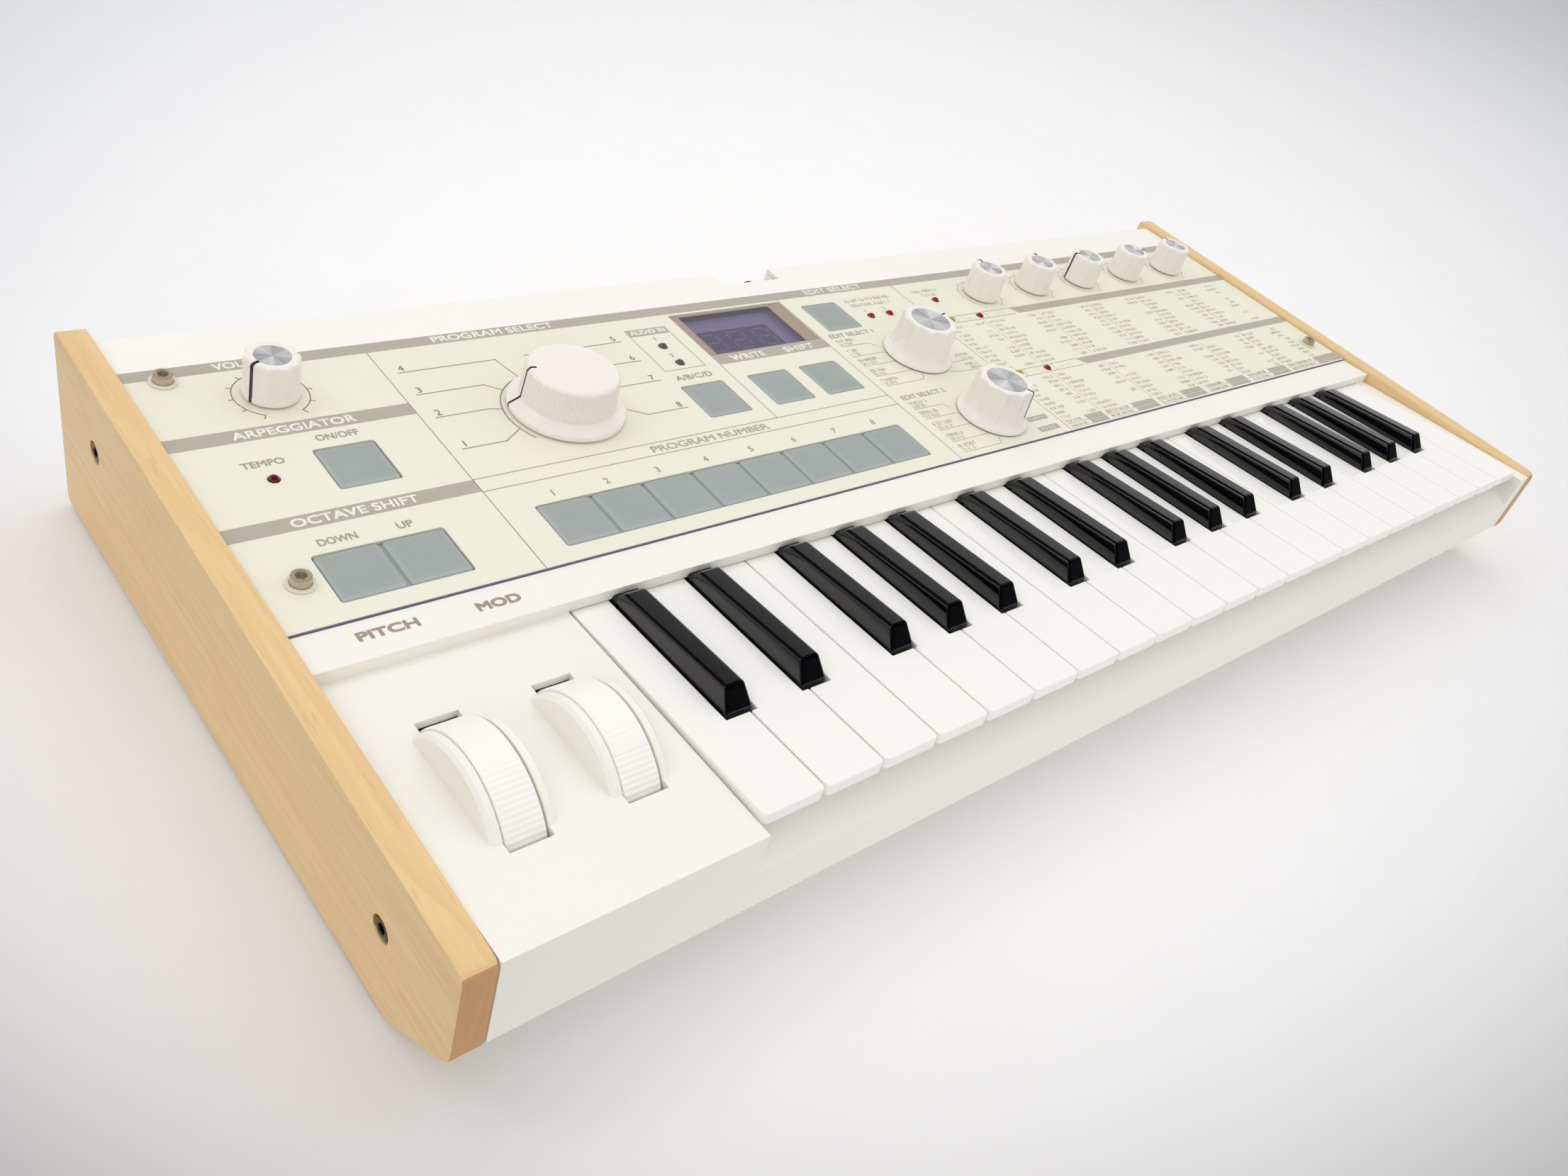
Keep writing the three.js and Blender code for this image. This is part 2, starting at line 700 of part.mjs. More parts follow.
// The populated circuit board: controls on its top face, jacks on its underside at the back.
function mainBoard() {
  const { top, sheet, y0, y1, half } = BOARD;
  const centre = WIDTH / 2;
  const frame = onPanel.matrix;
  const parts = [box(centre - half, y0, top - sheet, centre + half, y1, top, frame)];
  for (const { x, y } of Object.values(KNOBS)) {
    const body = 5;
    parts.push(box(x - body, y - body, top - 0.5, x + body, y + body, -3.2, frame));
    parts.push(rod("z", x, y, -4, SHAFT.radius, 4 + KNOB_LIFT + SHAFT.height, 16, frame));
  }
  for (const [x, y] of LEDS) {
    parts.push(rod("z", x, y, top - 0.5, LED.radius, -top, LED.segments, frame));
  }
  const rows = [PROGRAM_ROW, OCTAVE_ROW].flatMap((row) =>
    Array.from({ length: row.count }, (_, i) => ({ x: row.x + i * row.pitch, y: row.y })),
  );
  for (const { x, y } of [...rows, ARPEGGIATOR_CAP, ...FUNCTION_CAPS]) {
    parts.push(box(x - 3, y - 3, top - 0.5, x + 3, y + 3, -6.7, frame));
  }
  parts.push(box(DISPLAY.x0 + 9, DISPLAY.y0 + 5, top - 0.5, DISPLAY.x1 - 9, DISPLAY.y1 - 5, -3.6, frame));
  return unite([...parts, ...rearConnectors()]);
}

// Jacks, round sockets, the power inlet and the power switch hang under the board and reach through the wall.
function rearConnectors() {
  const innerWall = CASE_BACK - WALL - GAP;
  const deep = 14;
  const boardZ = (y) => panelZ(y, -BOARD.top + BOARD.sheet / 2);
  const high = boardZ(innerWall - deep) - 0.2;
  const low = REAR_JACKS.z - 9;
  const block = (x, width) => box(x - width / 2, innerWall - deep, low, x + width / 2, innerWall, high);
  const underBoard = boardZ(innerWall - deep);
  const link = (x, width) =>
    box(x - width / 2, innerWall - deep, high - 1, x + width / 2, innerWall - 8, underBoard);
  const barrel = (x, radius, segments) =>
    rod("y", x, innerWall - 1, REAR_JACKS.z, radius, WALL + GAP + 1, segments);
  const plug = (x) => {
    const w = REAR_POWER.width / 2;
    const h = REAR_POWER.height / 2;
    return box(x - w, innerWall - 1, REAR_JACKS.z - h, x + w, CASE_BACK, REAR_JACKS.z + h);
  };
  const jack = (x) => [block(x, REAR_JACKS.body), link(x, REAR_JACKS.body), barrel(x, REAR_JACKS.radius, 20)];
  const socket = (x) => [block(x, REAR_SOCKETS.body), link(x, 10), barrel(x, REAR_SOCKETS.radius, 24)];
  const power = (x) => [block(x, REAR_POWER.body), link(x, 10), plug(x)];
  return [
    ...REAR_JACKS.xs.flatMap(jack),
    ...REAR_SOCKETS.xs.flatMap(socket),
    ...REAR_POWER.xs.flatMap(power),
  ];
}

// ---- keyboard ---------------------------------------------------------------------------------------

const KEY_FRAME = {
  floor: FOOT_HEIGHT + 30.5,
  sheet: 2,
  frontY: FRONT + 13,
  backY: FRONT + 101.6,
  stopTop: FOOT_HEIGHT + 38.4,
  stopDepth: 7,
};
const FRAME_POSTS = { xs: [-170, -60, 60, 170, 235], ys: [FRONT + 34, FRONT + 92], radius: 4 };

// Underside of the keys at rest.
const keyUnderside = (y) => KEYS.frontZ - KEYS.fall * (y - KEYS.frontY) - KEYS.thickness;

function keyFrame() {
  const { floor, sheet, frontY, backY, stopTop, stopDepth } = KEY_FRAME;
  const clearance = 1;
  const pivotY = KEYS.frontY + KEYS.pivotBack;
  const rail = keyUnderside(pivotY) - clearance;
  const section = [
    [frontY, floor],
    [backY, floor],
    [backY, rail],
    [pivotY - 3, rail],
    [pivotY - 3, floor + sheet],
    [frontY + stopDepth, floor + sheet],
    [frontY + stopDepth, stopTop],
    [frontY, stopTop],
  ];
  return prismX(section, KEY_SPAN.x0 + clearance, KEY_SPAN.x1 - clearance);
}

// The black key right of white key i, or null; its centre is counted from the left end of the keyboard.
function blackCentre(i) {
  const offset = BLACK_OFFSETS[i % 7];
  return offset === undefined || i > KEYS.count - 2 ? null : (i + 1) * KEYS.pitch + offset;
}

// The outline of a white key seen from above, cut back beside each black neighbour.
function whiteKey(i) {
  const { pitch, gap, thickness, length } = KEYS;
  const cut = BLACK.baseWidth / 2 + BLACK.clearance;
  const left = i * pitch + gap / 2;
  const right = (i + 1) * pitch - gap / 2;
  const before = i > 0 ? blackCentre(i - 1) : null;
  const after = blackCentre(i);
  const rearLeft = before === null ? left : before + cut;
  const rearRight = after === null ? right : after - cut;
  const notch = BLACK.start - 1;
  const corner = 1.8;
  const shape = new THREE.Shape();
  shape.moveTo(left, corner);
  shape.quadraticCurveTo(left, 0, left + corner, 0);
  shape.lineTo(right - corner, 0);
  shape.quadraticCurveTo(right, 0, right, corner);
  if (after !== null) shape.lineTo(right, notch).lineTo(rearRight, notch);
  shape.lineTo(rearRight, length).lineTo(rearLeft, length);
  if (before !== null) shape.lineTo(rearLeft, notch).lineTo(left, notch);
  const outline = new THREE.Shape(tidyPoints(shape, 3));
  const slab = new THREE.ExtrudeGeometry(outline, { depth: thickness, bevelEnabled: false });
  slab.translate(0, 0, -thickness);
  return slab;
}

// A black key's crown is highest and narrowest at the front, and falls towards the back.
function blackKey(centre) {
  const { baseWidth, start, end, front, back } = BLACK;
  const w = baseWidth / 2;
  const arm = box(centre - w, start, -KEYS.thickness, centre + w, KEYS.length, 0);
  const crown = eightCornerBlock(levelCorners([centre - w, start, centre + w, end, -BITE]), [
    [centre - front.width / 2, start + front.lean, front.rise],
    [centre + front.width / 2, start + front.lean, front.rise],
    [centre + back.width / 2, end - back.lean, back.rise],
    [centre - back.width / 2, end - back.lean, back.rise],
  ]);
  return arm.add(crown);
}

const numbered = (stem, n) => stem + "_" + String(n).padStart(2, "0");

function addKeys() {
  let blacks = 0;
  for (let i = 0; i < KEYS.count; i++) {
    piece(numbered("white_key", i + 1), whiteKey(i), FINISH.whiteKey, onKeys);
    const centre = blackCentre(i);
    if (centre !== null) piece(numbered("black_key", ++blacks), blackKey(centre), FINISH.blackKey, onKeys);
  }
}

// ---- put together -----------------------------------------------------------------------------------

piece("upper_case", upperCase(), FINISH.case);
piece("lower_case", lowerCase(), FINISH.case);
piece("control_panel", controlPanel(), FINISH.panel, onPanel);
piece("display_window", displayWindow(), FINISH.window, onPanel);
piece("main_board", mainBoard(), FINISH.board);
piece("key_frame", keyFrame(), FINISH.frame);
piece("program_buttons", capRow(PROGRAM_ROW), FINISH.cap, onPanel);
piece("octave_buttons", capRow(OCTAVE_ROW), FINISH.cap, onPanel);
piece("arpeggiator_button", capRow({ ...ARPEGGIATOR_CAP, pitch: 0, count: 1 }), FINISH.cap, onPanel);
piece("function_buttons", functionButtons(), FINISH.cap, onPanel);

for (const [name, { x, y, form }] of Object.entries(KNOBS)) {
  piece(name, knobSolid(form), FINISH.knob, onPanel).position.set(x, y, KNOB_LIFT);
}

addWheel("pitch_wheel", WHEEL_SLOTS.pitch);
addWheel("mod_wheel", WHEEL_SLOTS.mod);
addKeys();

export default synthesizer;
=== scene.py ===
"""Looks of a compact keyboard synthesizer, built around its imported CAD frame. Lengths in the helpers are
millimetres; MM turns them into the frame's metres. The panel's own frame has x to the right, s up its slope
from the front edge and z out of its top face."""

import math
import random

import bmesh
import bpy
from mathutils import Matrix, Vector


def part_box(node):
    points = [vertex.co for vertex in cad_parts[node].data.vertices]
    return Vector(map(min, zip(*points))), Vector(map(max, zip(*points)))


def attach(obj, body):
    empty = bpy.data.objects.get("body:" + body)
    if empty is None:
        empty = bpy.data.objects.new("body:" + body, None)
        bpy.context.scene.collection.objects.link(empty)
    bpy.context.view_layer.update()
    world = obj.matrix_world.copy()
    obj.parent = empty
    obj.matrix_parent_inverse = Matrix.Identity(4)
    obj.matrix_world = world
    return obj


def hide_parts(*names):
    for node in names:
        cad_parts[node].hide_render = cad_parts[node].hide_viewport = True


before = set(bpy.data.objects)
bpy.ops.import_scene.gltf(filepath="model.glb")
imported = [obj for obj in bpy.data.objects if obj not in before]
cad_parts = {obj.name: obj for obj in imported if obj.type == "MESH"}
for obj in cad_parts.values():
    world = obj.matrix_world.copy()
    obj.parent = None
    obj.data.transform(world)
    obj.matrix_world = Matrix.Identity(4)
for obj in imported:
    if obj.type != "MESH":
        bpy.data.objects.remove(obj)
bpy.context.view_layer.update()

MM = 0.001
TAU = 2 * math.pi
HAIR = 0.05  # thickness of a printed mark
PANEL_SLOPE = math.atan(0.048)
PANEL_SHEET = 1.5
PANEL_LENGTH = 125.4
STRIP_TOP = 49.7
CASE = "case"


def panel_frame():
    """The matrix that takes panel millimetres to the frame."""
    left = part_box("left_cheek")[0].x
    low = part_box("control_panel")[0]
    top = low.z + PANEL_SHEET * MM * math.cos(PANEL_SLOPE)
    place = Matrix.Translation((left, low.y, top))
    return place @ Matrix.Rotation(PANEL_SLOPE, 4, "X") @ Matrix.Scale(MM, 4)


PANEL = panel_frame()
WORLD = Matrix.Scale(MM, 4)


def on_panel(x, s, z=0):
    return PANEL @ Matrix.Translation((x, s, z))


def node_centre(node):
    low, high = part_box(node)
    return (low + high) / 2


def panel_place(node):
    """Where a node's centre stands on the panel, as x and s."""
    local = PANEL.inverted() @ node_centre(node)
    return local.x, local.y


# ---- meshes ----


class Shell:
    """Closed meshes gathered into one piece."""

    def __init__(self):
        self.points = []
        self.faces = []

    def loft(self, rings, place, wrap=False):
        """Skins rings of equal length. Both ends are capped, unless the last ring joins the first."""
        start, count, levels = len(self.points), len(rings[0]), len(rings)
        for ring in rings:
            self.points += [place @ Vector(p) for p in ring]
        for level in range(levels if wrap else levels - 1):
            a = start + level * count
            b = start + (level + 1) % levels * count
            for i in range(count):
                j = (i + 1) % count
                self.faces.append((a + i, a + j, b + j, b + i))
        if not wrap:
            self.faces.append(tuple(start + i for i in reversed(range(count))))
            last = start + (levels - 1) * count
            self.faces.append(tuple(last + i for i in range(count)))
        return self

    def prism(self, outline, z0, z1, place=PANEL):
        return self.loft([[(x, y, z) for x, y in outline] for z in (z0, z1)], place)

    def bar(self, x0, y0, x1, y1, z0, z1, place=PANEL):
        return self.prism([(x0, y0), (x1, y0), (x1, y1), (x0, y1)], z0, z1, place)

    def mark(self, x0, y0, x1, y1):
        """A printed rectangle on the panel."""
        return self.bar(x0, y0, x1, y1, 0, HAIR)

    def stroke(self, points, width):
        """Printed line along points on the panel, one closed bar to a segment."""
        half = width / 2
        overrun = half * 0.6
        for (x0, y0), (x1, y1) in zip(points, points[1:]):
            length = math.hypot(x1 - x0, y1 - y0)
            turn = Matrix.Rotation(math.atan2(y1 - y0, x1 - x0), 4, "Z")
            self.bar(-overrun, -half, length + overrun, half, 0, HAIR, on_panel(x0, y0) @ turn)

    def add_mesh(self, points, faces):
        start = len(self.points)
        self.points += points
        self.faces += [tuple(start + i for i in face) for face in faces]

    def piece(self, name, material, body=CASE, slot=None, sharp=32):
        """Makes the piece; the material is a key of MATERIALS, and edges over sharp degrees stay crisp."""
        mesh = bpy.data.meshes.new(name)
        mesh.from_pydata([tuple(p) for p in self.points], [], self.faces)
        work = bmesh.new()
        work.from_mesh(mesh)
        bmesh.ops.recalc_face_normals(work, faces=work.faces)
        work.to_mesh(mesh)
        work.free()
        mesh.shade_smooth()
        mesh.set_sharp_from_angle(angle=math.radians(sharp))
        mesh.materials.append(MATERIALS[material])
        made = bpy.data.objects.new(name, mesh)
        bpy.context.scene.collection.objects.link(made)
        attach(made, body)
        return made


def circle(radius, z, count=48, form=None):
    """A ring round the Z axis; form gives the radius at an angle."""
    ring = []
    for i in range(count):
        a = TAU * i / count
        r = form(a) if form else radius
        ring.append((r * math.cos(a), r * math.sin(a), z))
    return ring


def turned(profile, count=48):
    """Rings of a turned shape whose profile is given as (radius, z)."""
    return [circle(r, z, count) for r, z in profile]


def arc(cx, cy, radius, start, end, steps=24):
    """Points from start to end degrees."""
    angles = [math.radians(start + (end - start) * i / steps) for i in range(steps + 1)]
    return [(cx + radius * math.cos(a), cy + radius * math.sin(a)) for a in angles]


def rounded(x0, y0, x1, y1, r, steps=5):
    corners = [(x1 - r, y1 - r, 0), (x0 + r, y1 - r, 90), (x0 + r, y0 + r, 180), (x1 - r, y0 + r, 270)]
    return [p for x, y, a in corners for p in arc(x, y, r, a, a + 90, steps)]


def rounded_rings(x0, y0, x1, y1, r, levels):
    """Rings of a rounded rectangle; levels gives the height and inset of each."""
    return [[(x, y, z) for x, y in rounded(x0 + d, y0 + d, x1 - d, y1 - d, r)] for z, d in levels]


def smoothstep(x, low, high):
    t = min(1, max(0, (x - low) / (high - low)))
    return t * t * (3 - 2 * t)


def glyphs(text):
    """A line of text as a closed mesh one unit thick: its points and faces."""
    curve = bpy.data.curves.new("lettering", "FONT")
    curve.body = text
    curve.extrude = 0.5
    curve.resolution_u = 4
    holder = bpy.data.objects.new("lettering", curve)
    bpy.context.scene.collection.objects.link(holder)
    bpy.context.view_layer.update()
    mesh = bpy.data.meshes.new_from_object(holder.evaluated_get(bpy.context.evaluated_depsgraph_get()))
    work = bmesh.new()
    work.from_mesh(mesh)
    bmesh.ops.remove_doubles(work, verts=work.verts, dist=1e-5)
    points = [v.co.copy() for v in work.verts]
    faces = [[v.index for v in f.verts] for f in work.faces]
    work.free()
    bpy.data.objects.remove(holder)
    bpy.data.curves.remove(curve)
    bpy.data.meshes.remove(mesh)
    return points, faces


def lettering(shell, text, x0, y0, x1, y1, bold=0, place=PANEL, height=HAIR):
    """Raised lettering fitted to a rectangle; bold repeats it to each side, every copy a shade higher."""
    points, faces = glyphs(text)
    left, right = min(p.x for p in points), max(p.x for p in points)
    low, high = min(p.y for p in points), max(p.y for p in points)
    up = (y1 - y0) / (high - low)
    across = up if len(text) == 1 else (x1 - x0) / (right - left)
    start = (x0 + x1) / 2 - across * (right - left) / 2
    shifts = [(0, 0)] + ([(-bold, -bold), (bold, -bold), (-bold, bold), (bold, bold)] if bold else [])
    for i, (dx, dy) in enumerate(shifts):
        tall = height * (1 + 0.12 * i)
        spots = [(start + (p.x - left) * across + dx, y0 + (p.y - low) * up + dy, p.z) for p in points]
        shell.add_mesh([place @ Vector((x, y, (z + 0.5) * tall)) for x, y, z in spots], faces)


# ---- materials ----


def rgb(red, green, blue):
    """A display colour of 0 to 255 as a linear colour."""
    def linear(value):
        share = value / 255
        return share / 12.92 if share <= 0.04045 else ((share + 0.055) / 1.055) ** 2.4

    return (linear(red), linear(green), linear(blue), 1)


def scaled(color, factor):
    return tuple(min(1, c * factor) for c in color[:3]) + (1,)


def feed(tree, socket, value):
    """Links a socket to another, or sets its value."""
    if isinstance(value, bpy.types.NodeSocket):
        tree.links.new(value, socket)
    else:
        socket.default_value = value


def add_node(tree, kind, settings=None, inputs=None):
    made = tree.nodes.new(kind)
    for key, value in (settings or {}).items():
        setattr(made, key, value)
    for key, value in (inputs or {}).items():
        feed(tree, made.inputs[key], value)
    return made


def mixed(tree, factor, a, b):
    """Two colours mixed by a factor."""
    return add_node(tree, "ShaderNodeMix", {"data_type": "RGBA"}, {0: factor, 6: a, 7: b}).outputs[2]


def maths(tree, operation, a, b=0):
    return add_node(tree, "ShaderNodeMath", {"operation": operation}, {0: a, 1: b}).outputs[0]


def ramp(tree, value, factor, offset):
    """value * factor + offset."""
    return maths(tree, "ADD", maths(tree, "MULTIPLY", value, factor), offset)


def clamped(tree, value, low):
    """The value held between low and 1."""
    return maths(tree, "MINIMUM", maths(tree, "MAXIMUM", value, low), 1)


def coordinates(tree, kind="Object"):
    return add_node(tree, "ShaderNodeTexCoord").outputs[kind]


def geometry(tree, kind):
    return add_node(tree, "ShaderNodeNewGeometry").outputs[kind]


def axis(tree, vector, index):
    """One coordinate of a vector: 0 for X, 1 for Y, 2 for Z."""
    return add_node(tree, "ShaderNodeSeparateXYZ", None, {0: vector}).outputs[index]


def distance(tree, vector):
    return add_node(tree, "ShaderNodeVectorMath", {"operation": "LENGTH"}, {0: vector}).outputs["Value"]


def position(tree, stretch=(1, 1, 1)):
    """Object coordinates in metres, stretched along each axis."""
    inputs = {"Vector": coordinates(tree), "Scale": stretch}
    return add_node(tree, "ShaderNodeMapping", None, inputs).outputs[0]


def noise(tree, vector, scale, detail=3, distortion=0):
    inputs = {"Vector": vector, "Scale": scale, "Detail": detail, "Distortion": distortion}
    return add_node(tree, "ShaderNodeTexNoise", None, inputs).outputs["Fac"]


def bumped(tree, height, strength, depth=0.1):
    inputs = {"Height": height, "Strength": strength, "Distance": depth * MM}
    return add_node(tree, "ShaderNodeBump", None, inputs).outputs[0]


def mottled(tree, factor, color, share):
    """A colour that drifts to each side of itself by a share."""
    return mixed(tree, factor, scaled(color, 1 - share), scaled(color, 1 + share))


def set_inputs(tree, shader, **inputs):
    """Feeds a shader's inputs; an underscore stands for the space in an input's name."""
    for key, value in inputs.items():
        feed(tree, shader.inputs[key.replace("_", " ")], value)


def blank(name):
    material = bpy.data.materials.new(name)
    material.use_nodes = True
    return material, material.node_tree, material.node_tree.nodes["Principled BSDF"]


def coating(name, color, roughness, mottle=0.03, patch=45, grain=1500, relief=0.15, **extra):
    """A moulded or painted finish: faint mottling, uneven gloss and a fine grain."""
    material, tree, shader = blank(name)
    where = position(tree)
    cloud = noise(tree, where, patch)
    gloss = ramp(tree, maths(tree, "SUBTRACT", cloud, 0.5), roughness * 0.5, roughness)
    normal = bumped(tree, noise(tree, where, grain, 2), relief)
    shade = mottled(tree, cloud, color, mottle)
    set_inputs(tree, shader, Base_Color=shade, Roughness=gloss, Normal=normal, **extra)
    return material


def maple(name, light, dark, ends):
    """Pale wood with long fibres along Y, slow growth bands and darker end grain."""
    material, tree, shader = blank(name)
    slow = noise(tree, position(tree, (12, 1.1, 12)), 5, 2, 0.35)
    bands = maths(tree, "POWER", maths(tree, "FRACT", maths(tree, "MULTIPLY", slow, 9)), 2.2)
    fibre = noise(tree, position(tree, (700, 14, 700)), 1, 4)
    pores = noise(tree, position(tree, (1500, 60, 1500)), 1, 2)
    tone = ramp(tree, bands, 0.2, maths(tree, "MULTIPLY", fibre, 0.6))
    flecks = maths(tree, "MULTIPLY", maths(tree, "GREATER_THAN", pores, 0.66), 0.22)
    flecked = mixed(tree, flecks, mixed(tree, tone, light, dark), scaled(dark, 0.72))
    along = axis(tree, geometry(tree, "Normal"), 1)
    end_grain = maths(tree, "GREATER_THAN", maths(tree, "ABSOLUTE", along), 0.8)
    rings = noise(tree, position(tree, (900, 900, 120)), 1, 3)
    color = mixed(tree, end_grain, flecked, mixed(tree, rings, ends, scaled(ends, 0.78)))
    gloss = ramp(tree, fibre, 0.2, 0.36)
    set_inputs(tree, shader, Base_Color=color, Roughness=gloss, Normal=bumped(tree, fibre, 0.25, 0.15))
    return material


def spun_metal(name, light, dark, roughness):
    """Aluminium turned on a lathe: fine rings, and bright sectors that spread from the centre, painted
    highlights set into the base colour by angle.
    """
    material, tree, shader = blank(name)
    tangent = add_node(tree, "ShaderNodeTangent", {"direction_type": "RADIAL", "axis": "Z"}).outputs[0]
    where = coordinates(tree)
    angle = maths(tree, "ARCTAN2", axis(tree, where, 1), axis(tree, where, 0))
    # painted highlights: bright and dark sectors by angle round the disc's centre, standing in for light
    # caught by the brushing
    painted_highlight_fans = maths(tree, "SINE", maths(tree, "MULTIPLY", angle, 3))
    painted_highlight_rays = maths(tree, "SINE", maths(tree, "MULTIPLY", angle, 11))
    both = ramp(tree, painted_highlight_fans, 0.38, maths(tree, "MULTIPLY", painted_highlight_rays, 0.12))
    shade = mixed(tree, maths(tree, "ADD", both, 0.5), dark, light)
    rings = maths(tree, "SINE", maths(tree, "MULTIPLY", distance(tree, where), 26000))
    set_inputs(tree, shader, Base_Color=shade, Tangent=tangent, Normal=bumped(tree, rings, 0.12, 0.02))
    set_inputs(tree, shader, Metallic=0.55, Roughness=roughness, Anisotropic=0.9)
    return material


def silicone(name, face, edge):
    """Translucent rubber: a matt grey-green face, and paler bevels picked by how far the surface turns from
    facing up: painted light, standing in for light shining through the rubber at its edges.
    """
    material, tree, shader = blank(name)
    up = axis(tree, geometry(tree, "Normal"), 2)
    # painted light: the more a face turns away from up, the more of the paler edge colour it gets
    bevel = clamped(tree, maths(tree, "MULTIPLY", maths(tree, "SUBTRACT", 0.99, up), 6), 0)
    where = position(tree)
    color = mixed(tree, bevel, mottled(tree, noise(tree, where, 70), face, 0.05), edge)
    set_inputs(tree, shader, Base_Color=color, Normal=bumped(tree, noise(tree, where, 1800), 0.2, 0.05))
    set_inputs(tree, shader, Roughness=0.42, Specular_IOR_Level=0.4)
    return material


def tinted_pane(name, tint, sheen):
    """A dark acrylic window: mostly clear, tinted, with a mirror sheen and faint haze."""
    material, tree, shader = blank(name)
    tree.nodes.remove(shader)
    haze = mixed(tree, noise(tree, position(tree), 120), tint, scaled(tint, 0.9))
    clear = add_node(tree, "ShaderNodeBsdfTransparent", None, {"Color": haze})
    gloss = add_node(tree, "ShaderNodeBsdfGlossy", None, {"Roughness": 0.05, "Color": sheen})
    veil = add_node(tree, "ShaderNodeBsdfDiffuse", None, {"Color": sheen})
    fresnel = add_node(tree, "ShaderNodeFresnel", None, {"IOR": 1.6}).outputs[0]
    front = maths(tree, "SUBTRACT", 1, geometry(tree, "Backfacing"))
    shine = maths(tree, "MULTIPLY", ramp(tree, fresnel, 1.2, 0.06), front)
    surface = add_node(tree, "ShaderNodeMixShader", None, {0: 0.1, 1: clear.outputs[0], 2: veil.outputs[0]})
    both = add_node(tree, "ShaderNodeMixShader", None, {0: shine, 1: surface.outputs[0], 2: gloss.outputs[0]})
    output = next(n for n in tree.nodes if n.type == "OUTPUT_MATERIAL")
    tree.links.new(both.outputs[0], output.inputs["Surface"])
    return material


def case_bottom(name, plastic, rubber, height):
    """The lower case: plastic with black rubber feet under the given height in metres."""
    material, tree, shader = blank(name)
    where = coordinates(tree)
    is_foot = maths(tree, "LESS_THAN", axis(tree, where, 2), height)
    shell = mixed(tree, noise(tree, where, 60), scaled(plastic, 0.96), scaled(plastic, 1.03))
    normal = bumped(tree, noise(tree, where, 1200), 0.3)
    gloss = ramp(tree, is_foot, 0.35, 0.5)
    set_inputs(tree, shader, Base_Color=mixed(tree, is_foot, shell, rubber), Roughness=gloss, Normal=normal)
    return material


def circuit(name, base, copper, plastic, under, behind):
    """Solder mask with traces under it; the connectors under and behind the board are black plastic."""
    material, tree, shader = blank(name)
    inputs = {"Vector": position(tree, (1, 1, 0)), "Scale": 260, "Mortar": copper, "Mortar Size": 0.06}
    inputs.update({"Color1": base, "Color2": scaled(base, 0.85)})
    bricks = add_node(tree, "ShaderNodeTexBrick", None, inputs)
    where = position(tree)
    low = maths(tree, "LESS_THAN", axis(tree, where, 2), under)
    hanging = maths(tree, "MULTIPLY", low, maths(tree, "GREATER_THAN", axis(tree, where, 1), behind))
    mould = mottled(tree, noise(tree, position(tree), 700), plastic, 0.1)
    set_inputs(tree, shader, Base_Color=mixed(tree, hanging, bricks.outputs["Color"], mould), Roughness=0.35)
    set_inputs(tree, shader, Normal=bumped(tree, bricks.outputs["Fac"], 0.3))
    return material


def lens(name, color, painted_glow=0):
    """A moulded LED lens, unlit; a faint emission in its own colour is a painted glow."""
    glowing = {"Emission_Color": color, "Emission_Strength": painted_glow, "Coat_Weight": 0.6}
    return coating(name, color, 0.12, mottle=0.08, patch=900, grain=2500, relief=0.05, **glowing)


